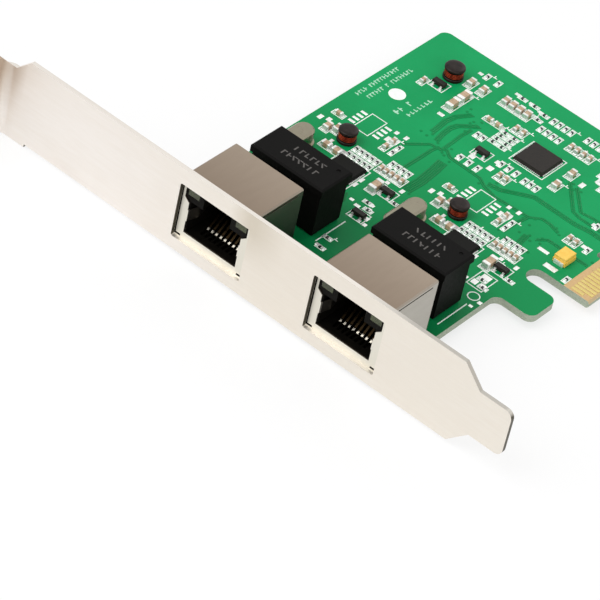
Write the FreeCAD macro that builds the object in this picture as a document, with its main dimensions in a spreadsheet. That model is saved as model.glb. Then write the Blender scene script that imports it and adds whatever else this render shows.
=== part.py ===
import FreeCAD, Part
import math
import os
import Sketcher

# A two-port network interface card: a folded steel bracket, a circuit board with an edge
# connector, two shielded sockets and the parts soldered to the board.
#
# Every piece is drawn in the card's working coordinates: X runs along the bracket from the outer
# face of its flange to the tip of its tongue, Y runs from the bracket's front face into the card,
# and Z = 0 is the board's component face. Each piece's Placement then carries it to the card's own
# frame, whose origin is the middle of the card's footprint at its lowest level.

V = FreeCAD.Vector
document = FreeCAD.newDocument("network_card")

# ------------------------------------------------------------------ driving dimensions, mm

SIZES = [
    # folded bracket
    ("bracket_length", 120.02), ("bracket_width", 18.42), ("sheet_gauge", 0.86),
    ("bend_radius", 2.6), ("flange_reach", 11.43), ("flange_width", 21.59),
    ("tongue_start", 112.75), ("tongue_width", 10.19), ("tongue_round", 1.6),
    ("neck_end", 3.0), ("neck_cut", 3.1), ("screw_notch", 4.42), ("notch_offset", 5.6),
    ("flange_drop", 0.65), ("drop_end", 7.4),
    ("port_first", 43.4), ("port_pitch", 31.5), ("window_wide", 16.4), ("window_tall", 12.3),
    ("window_low", 0.2), ("ear_wide", 7.2), ("ear_reach", 9.6), ("ear_hole", 3.0),
    ("ear_first", 40.4), ("ear_second", 67.3), ("ear_hole_reach", 5.4),
    # circuit board
    ("board_thickness", 1.57), ("board_left", 36.8), ("board_front", 1.2), ("board_rear", 90.0),
    ("board_shoulder", 92.1), ("board_corner", 1.8), ("foot_front", 35.4), ("foot_rear", 43.3),
    ("foot_end", 100.4), ("slot_end", 91.9), ("contact_left", 47.5), ("contact_end", 104.7),
    ("contact_part_one", 11.65), ("key_notch", 1.9), ("contact_part_two", 7.65),
    ("key_depth", 7.4), ("rear_shoulder", 96.45), ("finger_pitch", 1.0), ("finger_wide", 0.7),
    ("finger_long", 4.2), ("finger_gap", 0.6), ("plating", 0.05), ("screw_hole", 3.2),
    # shielded sockets
    ("shield_wide", 16.4), ("shield_tall", 14.3), ("shield_rear", 15.0), ("shield_gauge", 0.25),
    ("mouth_low", 1.8), ("mouth_wide", 12.4), ("mouth_step", 8.6), ("mouth_top_wide", 14.7),
    ("mouth_top", 13.3), ("plug_wide", 11.9), ("plug_low", 2.0), ("plug_tall", 6.9),
    ("plug_deep", 12.0), ("latch_wide", 6.4), ("latch_tall", 2.4), ("wire_pitch", 1.016),
    ("wire_wide", 0.42), ("peg_diameter", 3.1), ("peg_spacing", 11.43), ("peg_reach", 6.9),
    ("lamp_wide", 2.6), ("lamp_tall", 2.2), ("lamp_level", 10.1),
    # parts on the board
    ("magnetics_wide", 17.2), ("magnetics_deep", 8.8), ("magnetics_tall", 11.4),
    ("magnetics_front", 20.0), ("magnetics_first", 43.3), ("magnetics_pitch", 28.9),
    ("lid_tall", 1.7), ("lid_lip", 0.4),
    ("channel_pitch", 27.4), ("crystal_wide", 4.7), ("crystal_long", 11.4), ("crystal_tall", 3.6),
    ("crystal_left", 38.9), ("crystal_rear", 42.4), ("controller_side", 6.4),
    ("controller_middle", 51.7), ("controller_rear", 43.1), ("chip_tall", 0.85),
    ("bridge_side", 7.0), ("bridge_x", 73.4), ("bridge_y", 72.6),
    ("choke_radius", 1.95), ("choke_tall", 2.9), ("choke_flange", 0.7), ("tantalum_wide", 2.8), ("tantalum_long", 3.5),
    ("tantalum_tall", 1.9), ("tantalum_x", 94.4), ("tantalum_y", 53.1),
]

sheet = document.addObject("Spreadsheet::Sheet", "sizes")
for row, (alias, number) in enumerate(SIZES, start=1):
    sheet.set("A%d" % row, alias.replace("_", " "))
    sheet.set("B%d" % row, str(number))
    sheet.setAlias("B%d" % row, alias)
document.recompute()

size = dict(SIZES)


def value(expression):
    """The number that an expression on the sheet gives."""
    return float(sheet.evalExpression(str(expression)))


# ------------------------------------------------------------------ helpers

PLACE_X = "-sizes.bracket_length / 2"
PLACE_Y = "(sizes.flange_reach - sizes.sheet_gauge - sizes.board_rear) / 2"
PLACE_Z = "sizes.board_thickness + sizes.sheet_gauge + sizes.flange_drop"
NODES = []


def settle(piece, label):
    """Names a sub-part and moves it from working coordinates to the card's frame."""
    piece.Label = label
    piece.setExpression(".Placement.Base.x", PLACE_X)
    piece.setExpression(".Placement.Base.y", PLACE_Y)
    piece.setExpression(".Placement.Base.z", PLACE_Z)
    NODES.append(piece)
    return piece


def new_body(label):
    body = document.addObject("PartDesign::Body", label)
    body.AllowCompound = True
    return settle(body, label)


def new_sketch(body, plane, offset="0"):
    """A sketch on one of the body's own planes: top (XY), face (XZ) or side (YZ)."""
    role = {"top": "XY_Plane", "face": "XZ_Plane", "side": "YZ_Plane"}[plane]
    datum = [item for item in body.Origin.OriginFeatures if item.Role == role][0]
    sketch = body.newObject("Sketcher::SketchObject", body.Name + "_sketch")
    sketch.AttachmentSupport = (datum, "")
    sketch.MapMode = "FlatFace"
    sketch.setExpression(".AttachmentOffset.Base.z", str(offset))
    return sketch


def fix_point(sketch, edge, end, across, up):
    """Holds one point of the sketch at two expressions."""
    for kind, expression in (("DistanceX", across), ("DistanceY", up)):
        constraint = Sketcher.Constraint(kind, -1, 1, edge, end, value(expression))
        index = sketch.addConstraint(constraint)
        sketch.setExpression("Constraints[%d]" % index, str(expression))


def outline(sketch, corners):
    """A closed outline of straight runs through corners given as pairs of expressions."""
    first = sketch.GeometryCount
    points = [V(value(across), value(up), 0) for across, up in corners]
    count = len(points)
    for i in range(count):
        sketch.addGeometry(Part.LineSegment(points[i], points[(i + 1) % count]), False)
    for i in range(count):
        joint = Sketcher.Constraint("Coincident", first + i, 2, first + (i + 1) % count, 1)
        sketch.addConstraint(joint)
    for i, (across, up) in enumerate(corners):
        fix_point(sketch, first + i, 1, across, up)


def rectangle(sketch, left, low, wide, tall):
    right = "(%s) + (%s)" % (left, wide)
    high = "(%s) + (%s)" % (low, tall)
    outline(sketch, [(left, low), (right, low), (right, high), (left, high)])


def circle(sketch, across, up, diameter):
    index = sketch.GeometryCount
    middle = V(value(across), value(up), 0)
    sketch.addGeometry(Part.Circle(middle, V(0, 0, 1), value(diameter) / 2), False)
    fix_point(sketch, index, 3, across, up)
    limit = sketch.addConstraint(Sketcher.Constraint("Diameter", index, value(diameter)))
    sketch.setExpression("Constraints[%d]" % limit, str(diameter))


def polygon(sketch, across, up, diameter, sides):
    """A regular outline, for round details too small to need a true circle."""
    corners = []
    for i in range(sides):
        turn = 2 * math.pi * (i + 0.5) / sides
        corners.append(("(%s) + (%s) / 2 * %.4f" % (across, diameter, math.cos(turn)),
                        "(%s) + (%s) / 2 * %.4f" % (up, diameter, math.sin(turn))))
    outline(sketch, corners)


def pad(body, sketch, length, backwards=False):
    feature = body.newObject("PartDesign::Pad", body.Name + "_pad")
    feature.Profile = sketch
    feature.setExpression("Length", str(length))
    feature.Reversed = backwards
    body.Tip = feature
    return feature


def pocket(body, sketch, length, backwards=False):
    """Cuts a sketch into the body and makes sure that it took material away."""
    document.recompute()
    before = body.Shape.Volume
    feature = body.newObject("PartDesign::Pocket", body.Name + "_pocket")
    feature.Profile = sketch
    feature.setExpression("Length", str(length))
    feature.Reversed = backwards
    body.Tip = feature
    document.recompute()
    if body.Shape.Volume > before - 1e-4:
        raise RuntimeError("a pocket in %s cuts nothing" % body.Label)
    return feature


def edges_where(body, test):
    """Names of the body's edges whose middle point and direction pass a test."""
    names = []
    for i, edge in enumerate(body.Tip.Shape.Edges, start=1):
        middle = edge.valueAt((edge.FirstParameter + edge.LastParameter) / 2)
        box = edge.BoundBox
        if test(middle, V(box.XLength, box.YLength, box.ZLength)):
            names.append("Edge%d" % i)
    return names


def soften(body, kind, test, amount):
    """A Fillet or Chamfer on the edges that pass a test."""
    document.recompute()
    base = body.Tip
    names = edges_where(body, test)
    feature = body.newObject("PartDesign::" + kind, body.Name + "_" + kind.lower())
    feature.Base = (base, names)
    feature.setExpression("Radius" if kind == "Fillet" else "Size", str(amount))
    body.Tip = feature
    document.recompute()
    return feature


def pattern(body, feature, axis, length, count):
    """Repeats a feature along one of the body's own axes."""
    role = {"X": "X_Axis", "Y": "Y_Axis", "Z": "Z_Axis"}[axis]
    line = [item for item in body.Origin.OriginFeatures if item.Role == role][0]
    repeat = body.newObject("PartDesign::LinearPattern", body.Name + "_pattern")
    repeat.Originals = [feature]
    repeat.Direction = (line, [""])
    repeat.setExpression("Length", str(length))
    repeat.Occurrences = count
    body.Tip = repeat
    document.recompute()
    return repeat


def solids_feature(label, solids):
    """One node made of separate solids that stand at listed places on the board."""
    piece = document.addObject("Part::Feature", label)
    piece.Shape = Part.makeCompound(solids)
    return settle(piece, label)


# ------------------------------------------------------------------ folded bracket

LOW = "-sizes.board_thickness - sizes.sheet_gauge"
HIGH = "sizes.bracket_width - sizes.board_thickness - sizes.sheet_gauge"
FLANGE_LOW = LOW + " - sizes.flange_drop"


def make_bracket():
    """One piece of sheet steel: plate, flange with its screw notch, tongue and two ears."""
    body = new_body("bracket")
    gauge = "sizes.sheet_gauge"
    tongue_cut = "(sizes.bracket_width - sizes.tongue_width) / 2"
    shoulder = "sizes.tongue_start - " + tongue_cut
    neck_top = HIGH + " - sizes.neck_cut"
    plate = new_sketch(body, "face")
    outline(plate, [
        ("sizes.bend_radius", FLANGE_LOW), ("sizes.drop_end", FLANGE_LOW),
        ("sizes.drop_end", LOW), (shoulder, LOW),
        ("sizes.tongue_start", "%s + %s" % (LOW, tongue_cut)),
        ("sizes.bracket_length", "%s + %s" % (LOW, tongue_cut)),
        ("sizes.bracket_length", "%s - %s" % (HIGH, tongue_cut)),
        ("sizes.tongue_start", "%s - %s" % (HIGH, tongue_cut)),
        (shoulder, HIGH), ("sizes.neck_end + sizes.neck_cut", HIGH),
        ("sizes.neck_end", neck_top), ("sizes.bend_radius", neck_top)])
    pad(body, plate, gauge, backwards=True)

    # the flange and its bend, seen from above, before its corner and notch are cut
    fold = new_sketch(body, "top", FLANGE_LOW)
    bend = value("sizes.bend_radius")
    sheet_mm = value(gauge)
    reach = value("sizes.flange_reach - sizes.sheet_gauge")
    centre = V(bend, sheet_mm - bend, 0)
    diagonal = V(-math.sqrt(0.5), math.sqrt(0.5), 0)
    outer = Part.Arc(V(0, centre.y, 0), centre + diagonal * bend, V(bend, sheet_mm, 0))
    inside = bend - sheet_mm
    inner = Part.Arc(V(bend, 0, 0), centre + diagonal * inside, V(sheet_mm, centre.y, 0))
    fold.addGeometry(outer, False)
    fold.addGeometry(Part.LineSegment(V(bend, sheet_mm, 0), V(bend, 0, 0)), False)
    fold.addGeometry(inner, False)
    fold.addGeometry(Part.LineSegment(V(sheet_mm, centre.y, 0), V(sheet_mm, -reach, 0)), False)
    fold.addGeometry(Part.LineSegment(V(sheet_mm, -reach, 0), V(0, -reach, 0)), False)
    fold.addGeometry(Part.LineSegment(V(0, -reach, 0), V(0, centre.y, 0)), False)
    for i in range(6):
        fold.addConstraint(Sketcher.Constraint("Block", i))
    pad(body, fold, "sizes.flange_width")

    # the flange's flare: the corner over the neck goes, at 45 degrees
    corner = new_sketch(body, "side", "-1")
    rise = "(sizes.flange_width - sizes.flange_drop - sizes.bracket_width + sizes.neck_cut)"
    outline(corner, [
        ("2", neck_top), ("2", "%s + 12" % HIGH), ("-%s" % rise, "%s + 12" % HIGH),
        ("-%s" % rise, "%s + sizes.flange_width" % FLANGE_LOW), ("0", neck_top)])
    pocket(body, corner, "sizes.bend_radius + 1", backwards=True)

    # the screw notch, open towards the solder side
    notch = new_sketch(body, "side", "-1")
    middle = "-sizes.flange_reach / 2"
    rectangle(notch, "%s - sizes.screw_notch / 2" % middle, "%s - 1" % FLANGE_LOW,
              "sizes.screw_notch", "sizes.notch_offset + sizes.flange_drop + 1")
    pocket(body, notch, "sizes.sheet_gauge + 2", backwards=True)
    bowl = new_sketch(body, "side", "-1")
    circle(bowl, middle, "%s + sizes.notch_offset" % LOW, "sizes.screw_notch")
    pocket(body, bowl, "sizes.sheet_gauge + 2", backwards=True)

    # port windows
    window = new_sketch(body, "face", "1")
    rectangle(window, "sizes.port_first", "sizes.window_low",
              "sizes.window_wide", "sizes.window_tall")
    opening = pocket(body, window, "sizes.sheet_gauge + 2")
    pattern(body, opening, "X", "sizes.port_pitch", 2)
    soften(body, "Fillet",
           lambda at, run: run.y > 0.5 and run.x < 0.1 and run.z < 0.1
           and at.x > 30 and at.x < 100 and at.z > 0 and at.z < 14, "0.4")

    # ears folded back under the board, one at the board's corner and one between the ports
    for place in ("sizes.ear_first", "sizes.ear_second"):
        ear = new_sketch(body, "top", LOW)
        rectangle(ear, "%s - sizes.ear_wide / 2" % place, "sizes.sheet_gauge / 2",
                  "sizes.ear_wide", "sizes.ear_reach - sizes.sheet_gauge / 2")
        pad(body, ear, gauge)
        hole = new_sketch(body, "top", "%s - 1" % LOW)
        circle(hole, place, "sizes.ear_hole_reach", "sizes.ear_hole")
        pocket(body, hole, "sizes.sheet_gauge + 2", backwards=True)
    soften(body, "Fillet",
           lambda at, run: run.z > 0.5 and run.x < 0.1 and run.y < 0.1 and at.y > 9, "1.8")
    soften(body, "Fillet",
           lambda at, run: run.y > 0.5 and run.x < 0.1 and run.z < 0.1 and at.x > 119,
           "sizes.tongue_round")
    soften(body, "Fillet",
           lambda at, run: run.x > 0.5 and run.y < 0.1 and run.z < 0.1 and at.y < -8, "1.2")
    return body


# ------------------------------------------------------------------ circuit board

CONTACT_RIGHT = ("sizes.contact_left + sizes.contact_part_one + sizes.key_notch"
                 " + sizes.contact_part_two")


def make_board():
    """Laminate with the locating foot, the slot beside it and the bevelled edge connector."""
    body = new_body("circuit_board")
    shape = new_sketch(body, "top")
    key_left = "sizes.contact_left + sizes.contact_part_one"
    outline(shape, [
        ("sizes.board_left", "sizes.board_front"), ("sizes.board_left", "sizes.board_rear"),
        ("sizes.rear_shoulder", "sizes.board_rear"), ("sizes.rear_shoulder", CONTACT_RIGHT),
        ("sizes.contact_end", CONTACT_RIGHT),
        ("sizes.contact_end", key_left + " + sizes.key_notch"),
        ("sizes.contact_end - sizes.key_depth", key_left + " + sizes.key_notch"),
        ("sizes.contact_end - sizes.key_depth", key_left), ("sizes.contact_end", key_left),
        ("sizes.contact_end", "sizes.contact_left"), ("sizes.slot_end", "sizes.contact_left"),
        ("sizes.slot_end", "sizes.foot_rear"), ("sizes.foot_end", "sizes.foot_rear"),
        ("sizes.foot_end", "sizes.foot_front"), ("sizes.board_shoulder", "sizes.foot_front"),
        ("sizes.board_shoulder", "sizes.board_front")])
    pad(body, shape, "sizes.board_thickness", backwards=True)

    upright = lambda run: run.z > 1 and run.x < 0.1 and run.y < 0.1
    near = lambda at, x, y: abs(at.x - value(x)) < 0.1 and abs(at.y - value(y)) < 0.1
    soften(body, "Fillet",
           lambda at, run: upright(run)
           and (near(at, "sizes.board_left", "sizes.board_rear")
                or near(at, "sizes.foot_end", "sizes.foot_rear")
                or near(at, "sizes.foot_end", "sizes.foot_front")
                or near(at, "sizes.board_shoulder", "sizes.foot_front")
                or near(at, "sizes.rear_shoulder", "sizes.board_rear")), "sizes.board_corner")
    soften(body, "Fillet",
           lambda at, run: upright(run)
           and (near(at, "sizes.slot_end", "sizes.foot_rear")
                or near(at, "sizes.slot_end", "sizes.contact_left")), "2.05")
    soften(body, "Fillet",
           lambda at, run: upright(run) and abs(at.x - value(
               "sizes.contact_end - sizes.key_depth")) < 0.1, "0.9")

    # the mating edge is bevelled on both faces
    soften(body, "Chamfer",
           lambda at, run: run.y > 5 and run.z < 0.1 and abs(at.x - size["contact_end"]) < 0.1,
           "0.45")

    holes = new_sketch(body, "top", "1")
    for place in ("sizes.ear_first", "sizes.ear_second"):
        circle(holes, place, "sizes.ear_hole_reach", "sizes.screw_hole")
    for port in (0, 1):
        middle = port_middle(port)
        for side in (-1, 1):
            circle(holes, "%s + %d * sizes.peg_spacing / 2" % (middle, side),
                   "sizes.peg_reach", "sizes.peg_diameter + 0.1")
            rectangle(holes, "%s + %d * (sizes.shield_wide - sizes.shield_gauge) / 2 - 0.3"
                      % (middle, side), "sizes.peg_reach + 3.0", "0.6", "2.2")
    pocket(body, holes, "sizes.board_thickness + 2")
    return body


def port_middle(port):
    return "sizes.port_first + sizes.window_wide / 2 + %d * sizes.port_pitch" % port


def make_edge_contacts():
    """Gold fingers of the edge connector on both faces, with two shorter presence fingers."""
    fingers = []
    end = size["contact_end"] - size["finger_gap"]
    start = size["contact_left"] + (size["contact_part_one"] - 10 * size["finger_pitch"]) / 2
    skip = size["contact_part_one"] + size["key_notch"]
    second = size["contact_left"] + skip + (size["contact_part_two"] - 6 * size["finger_pitch"]) / 2
    places = [start + i * size["finger_pitch"] for i in range(11)]
    places += [second + i * size["finger_pitch"] for i in range(7)]
    for face in (0, 1):
        level = 0 if face == 0 else -size["board_thickness"] - size["plating"]
        for i, place in enumerate(places):
            short = 1.4 if (face, i) in ((0, 0), (1, 16)) else 0
            corner = V(end - size["finger_long"], place - size["finger_wide"] / 2, level)
            fingers.append(Part.makeBox(size["finger_long"] - short, size["finger_wide"],
                                        size["plating"], corner))
    return solids_feature("edge_contacts", fingers)


def prism(sides, low_radius, low, high_radius, high):
    """A many-sided straight or tapered piece on its own axis; a lowest radius of 0 is a point."""
    turns = [2 * math.pi * i / sides for i in range(sides)]
    rings = []
    for radius, level in ((low_radius, low), (high_radius, high)):
        rings.append([V(radius * math.cos(turn), radius * math.sin(turn), level) for turn in turns])
    foot, head = rings
    panels = [head] if low_radius == 0 else [foot, head]
    for i in range(sides):
        j = (i + 1) % sides
        low_edge = [foot[0]] if low_radius == 0 else [foot[i], foot[j]]
        panels.append(low_edge + [head[j], head[i]])
    faces = [Part.Face(Part.makePolygon(panel + panel[:1])) for panel in panels]
    solid = Part.Solid(Part.Shell(faces))
    solid.fix(1e-6, 1e-6, 1e-6)
    return solid


def make_bracket_screws():
    """Two pan-head screws that hold the board to the bracket's ears."""
    screws = []
    for place in ("ear_first", "ear_second"):
        shank = prism(16, 1.45, -size["board_thickness"] - size["sheet_gauge"], 1.45, 0.2)
        rim = prism(16, 2.75, 0, 2.75, 0.9)
        crown = prism(16, 2.75, 0.9, 1.7, 1.9)
        screw = shank.fuse([rim, crown]).removeSplitter()
        screw.translate(V(size[place], size["ear_hole_reach"], 0))
        screws.append(screw)
    return solids_feature("bracket_screws", screws)


# ------------------------------------------------------------------ shielded sockets


def make_shield(port):
    """Folded metal shield: front with its stepped mouth, roof, sides, back and ground tabs."""
    body = new_body("jack_shield_%d" % (port + 1))
    middle = port_middle(port)
    gauge = "sizes.shield_gauge"
    shell = new_sketch(body, "top")
    rectangle(shell, "%s - sizes.shield_wide / 2" % middle, "sizes.sheet_gauge",
              "sizes.shield_wide", "sizes.shield_rear - sizes.sheet_gauge")
    pad(body, shell, "sizes.shield_tall")
    top = value("sizes.shield_tall")
    soften(body, "Chamfer",
           lambda at, run: abs(at.z - top) < 0.1 and run.z < 0.1 and at.y > 2
           or run.z > 5 and at.y > 2, "0.3")
    hollow = new_sketch(body, "top", "-1")
    rectangle(hollow, "%s - sizes.shield_wide / 2 + %s" % (middle, gauge),
              "sizes.sheet_gauge + %s" % gauge, "sizes.shield_wide - 2 * %s" % gauge,
              "sizes.shield_rear - sizes.sheet_gauge - 2 * %s" % gauge)
    pocket(body, hollow, "sizes.shield_tall - %s + 1" % gauge, backwards=True)

    mouth = new_sketch(body, "face", "0")
    half = "sizes.mouth_wide / 2"
    wide = "sizes.mouth_top_wide / 2"
    outline(mouth, [
        ("%s - %s" % (middle, half), "sizes.mouth_low"),
        ("%s + %s" % (middle, half), "sizes.mouth_low"),
        ("%s + %s" % (middle, half), "sizes.mouth_step"),
        ("%s + %s" % (middle, wide), "sizes.mouth_step + 0.9"),
        ("%s + %s" % (middle, wide), "sizes.mouth_top"),
        ("%s - %s" % (middle, wide), "sizes.mouth_top"),
        ("%s - %s" % (middle, wide), "sizes.mouth_step + 0.9"),
        ("%s - %s" % (middle, half), "sizes.mouth_step")])
    pocket(body, mouth, "sizes.sheet_gauge + %s + 0.5" % gauge)

    # the open seam where the right side was folded down, and the slits beside the tab
    seam = new_sketch(body, "side", "%s + sizes.shield_wide / 2 - 1" % middle)
    rectangle(seam, "sizes.sheet_gauge + 1.2", "sizes.shield_tall - 0.95", "11.2", "0.3")
    pocket(body, seam, "2", backwards=True)
    for across in ("8.6", "12.0"):
        slit = new_sketch(body, "side", "%s - sizes.shield_wide / 2 - 1" % middle)
        rectangle(slit, across, "-1", "0.35", "4.2")
        pocket(body, slit, "sizes.shield_wide + 2", backwards=True)

    # spring leaves folded in at the sides of the mouth
    for side in (-1, 1):
        leaf = new_sketch(body, "top", "4.4")
        edge = "%s + %d * (sizes.mouth_wide / 2 + 0.02)" % (middle, side)
        inward = "%s + %d * (sizes.mouth_wide / 2 - 0.62)" % (middle, side)
        back = "%s + %d * (sizes.mouth_wide / 2 - 0.10)" % (middle, side)
        lip = "sizes.sheet_gauge"
        outline(leaf, [
            (edge, lip), (edge, "sizes.sheet_gauge + 0.3"), (inward, "3.4"), (back, "6.2"),
            ("%s - %d * 0.2" % (back, side), "6.2"), ("%s - %d * 0.2" % (inward, side), "3.4"),
            ("%s - %d * 0.2" % (edge, side), lip)])
        pad(body, leaf, "2.6")

    # ground tabs that go through the board
    for side in (-1, 1):
        tab = new_sketch(body, "top", "-sizes.board_thickness - 0.6")
        rectangle(tab, "%s + %d * (sizes.shield_wide - %s) / 2 - %s / 2"
                  % (middle, side, gauge, gauge), "sizes.peg_reach + 3.2", gauge, "1.8")
        pad(body, tab, "sizes.board_thickness + 1.0")
    return body


def make_housing(port):
    """Moulded insert: plug cavity with its latch channel, lamp bores and two locating pegs."""
    body = new_body("jack_housing_%d" % (port + 1))
    middle = port_middle(port)
    front = "(sizes.sheet_gauge + sizes.shield_gauge)"
    slack = "(sizes.shield_gauge + 0.05)"
    block = new_sketch(body, "top")
    rectangle(block, "%s - sizes.shield_wide / 2 + %s" % (middle, slack), front,
              "sizes.shield_wide - 2 * %s" % slack, "sizes.shield_rear - %s - %s" % (front, slack))
    pad(body, block, "sizes.shield_tall - %s" % slack)

    cavity = new_sketch(body, "face")
    plug = "sizes.plug_wide / 2"
    latch = "sizes.latch_wide / 2"
    plug_top = "sizes.plug_low + sizes.plug_tall"
    outline(cavity, [
        ("%s - %s" % (middle, plug), "sizes.plug_low"),
        ("%s + %s" % (middle, plug), "sizes.plug_low"),
        ("%s + %s" % (middle, plug), plug_top), ("%s + %s" % (middle, latch), plug_top),
        ("%s + %s" % (middle, latch), plug_top + " + sizes.latch_tall"),
        ("%s - %s" % (middle, latch), plug_top + " + sizes.latch_tall"),
        ("%s - %s" % (middle, latch), plug_top), ("%s - %s" % (middle, plug), plug_top)])
    pocket(body, cavity, "sizes.plug_deep")

    # recesses for the shield's spring leaves, and bores for the lamps
    relief = new_sketch(body, "face")
    rectangle(relief, "%s - sizes.mouth_wide / 2 - 0.1" % middle, "4.1",
              "sizes.mouth_wide + 0.2", "3.2")
    pocket(body, relief, "7.0")
    for side in (-1, 1):
        bore = new_sketch(body, "face")
        rectangle(bore, "%s + %d * 5.6 - sizes.lamp_wide / 2" % (middle, side),
                  "sizes.lamp_level", "sizes.lamp_wide", "sizes.lamp_tall")
        pocket(body, bore, "sizes.plug_deep - 2")

    # slots in the floor for the contact wires, open at the front
    comb = new_sketch(body, "top", "sizes.plug_low + 0.05")
    rectangle(comb, "%s - 3.5 * sizes.wire_pitch - 0.31" % middle, "2.6", "0.62", "9.9")
    groove = pocket(body, comb, "0.75")
    pattern(body, groove, "X", "7 * sizes.wire_pitch", 8)

    pegs = new_sketch(body, "top")
    for side in (-1, 1):
        polygon(pegs, "%s + %d * sizes.peg_spacing / 2" % (middle, side), "sizes.peg_reach",
                "sizes.peg_diameter", 12)
    pad(body, pegs, "sizes.board_thickness + 0.6", backwards=True)
    return body


def make_wires(port):
    """Eight sprung contact wires that rise from the cavity's floor towards its back."""
    body = new_body("jack_contacts_%d" % (port + 1))
    left = "%s - 3.5 * sizes.wire_pitch - sizes.wire_wide / 2" % port_middle(port)
    wire = new_sketch(body, "side", left)
    floor = "sizes.plug_low"
    thin = 0.3
    path = [(3.0, -0.2), (4.6, -0.2), (5.3, 0.25), (10.2, 4.1), (11.2, 4.1)]
    lower = [(str(across), "%s + %.2f" % (floor, up)) for across, up in path]
    upper = [(str(round(across - (0.12 if 0 < i < 4 else 0), 2)), "%s + %.2f" % (floor, up + thin))
             for i, (across, up) in enumerate(path)]
    outline(wire, lower + upper[::-1])
    first = pad(body, wire, "sizes.wire_wide")
    document.recompute()
    pattern(body, first, "X", "7 * sizes.wire_pitch", 8)
    return body


def make_lamps(port):
    """Two clear light pipes in the upper corners of a socket's mouth."""
    body = new_body("jack_lights_%d" % (port + 1))
    lamp = new_sketch(body, "face", "-sizes.sheet_gauge - sizes.shield_gauge")
    for side in (-1, 1):
        rectangle(lamp, "%s + %d * 5.6 - sizes.lamp_wide / 2 + 0.05" % (port_middle(port), side),
                  "sizes.lamp_level + 0.05", "sizes.lamp_wide - 0.1", "sizes.lamp_tall - 0.1")
    pad(body, lamp, "6.5", backwards=True)
    return body


# ------------------------------------------------------------------ magnetics and chips


def make_magnetics(port):
    """Moulded transformer module: a lid that overhangs its case, a pin-one dimple and feet."""
    body = new_body("magnetics_%d" % (port + 1))
    left = "sizes.magnetics_first + %d * sizes.magnetics_pitch" % port
    lid = new_sketch(body, "top", "sizes.magnetics_tall - sizes.lid_tall")
    rectangle(lid, left, "sizes.magnetics_front", "sizes.magnetics_wide", "sizes.magnetics_deep")
    pad(body, lid, "sizes.lid_tall")
    case = new_sketch(body, "top", "0.4")
    rectangle(case, left + " + sizes.lid_lip", "sizes.magnetics_front + sizes.lid_lip",
              "sizes.magnetics_wide - 2 * sizes.lid_lip",
              "sizes.magnetics_deep - 2 * sizes.lid_lip")
    pad(body, case, "sizes.magnetics_tall - 0.5")
    top = value("sizes.magnetics_tall")
    soften(body, "Chamfer", lambda at, run: abs(at.z - top) < 0.1, "0.35")
    feet = new_sketch(body, "top")
    for across in ("0.6", "sizes.magnetics_wide - 2.0"):
        for along in ("0.6", "sizes.magnetics_deep - 2.0"):
            rectangle(feet, "%s + %s" % (left, across), "sizes.magnetics_front + %s" % along,
                      "1.4", "1.4")
    pad(body, feet, "0.5")
    dot = new_sketch(body, "top", "sizes.magnetics_tall + 0.5")
    polygon(dot, "%s + sizes.magnetics_wide - 1.9" % left,
            "sizes.magnetics_front + sizes.magnetics_deep - 1.9", "0.9", 8)
    pocket(body, dot, "0.65")
    return body


def racetrack(sketch, left, low, wide, long):
    """A slot outline, long along the sketch's second axis."""
    radius = "(%s) / 2" % wide
    middle = "(%s) + %s" % (left, radius)
    bottom = "(%s) + %s" % (low, radius)
    top = "(%s) + (%s) - %s" % (low, long, radius)
    m, b, t, r = value(middle), value(bottom), value(top), value(radius)
    index = sketch.GeometryCount
    sketch.addGeometry(Part.LineSegment(V(m + r, b, 0), V(m + r, t, 0)), False)
    sketch.addGeometry(Part.Arc(V(m + r, t, 0), V(m, t + r, 0), V(m - r, t, 0)), False)
    sketch.addGeometry(Part.LineSegment(V(m - r, t, 0), V(m - r, b, 0)), False)
    sketch.addGeometry(Part.Arc(V(m - r, b, 0), V(m, b - r, 0), V(m + r, b, 0)), False)
    for i in range(4):
        sketch.addConstraint(Sketcher.Constraint("Block", index + i))


def make_crystal(port):
    """Drawn metal crystal can with its rolled base flange."""
    body = new_body("crystal_%d" % (port + 1))
    left = "sizes.crystal_left + %d * sizes.channel_pitch" % port
    low = "sizes.crystal_rear - sizes.crystal_long"
    base = new_sketch(body, "top")
    racetrack(base, left, low, "sizes.crystal_wide", "sizes.crystal_long")
    pad(body, base, "0.55")
    can = new_sketch(body, "top", "0.3")
    racetrack(can, "%s + 0.35" % left, "%s + 0.35" % low, "sizes.crystal_wide - 0.7",
              "sizes.crystal_long - 0.7")
    pad(body, can, "sizes.crystal_tall - 0.3")
    top = value("sizes.crystal_tall")
    soften(body, "Chamfer", lambda at, run: abs(at.z - top) < 0.05, "0.4")
    return body


def make_chip(label, side, middle_x, middle_y):
    """Flat leadless chip with a softened lid edge and a pin-one mark."""
    body = new_body(label)
    slab = new_sketch(body, "top")
    rectangle(slab, "%s - %s / 2" % (middle_x, side), "%s - %s / 2" % (middle_y, side), side, side)
    pad(body, slab, "sizes.chip_tall")
    top = value("sizes.chip_tall")
    soften(body, "Chamfer", lambda at, run: abs(at.z - top) < 0.05, "0.12")
    dot = new_sketch(body, "top", "sizes.chip_tall + 0.5")
    polygon(dot, "%s - %s / 2 + 0.95" % (middle_x, side), "%s + %s / 2 - 0.95" % (middle_y, side),
            "0.6", 6)
    pocket(body, dot, "0.56")
    return body


CHOKES = [("sizes.choke_radius", "46.3", "47.4"), ("sizes.choke_radius", "73.4", "47.4"),
          ("sizes.choke_radius + 0.15", "47.1", "79.4")]
CHOKE_SIDES = 18


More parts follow.
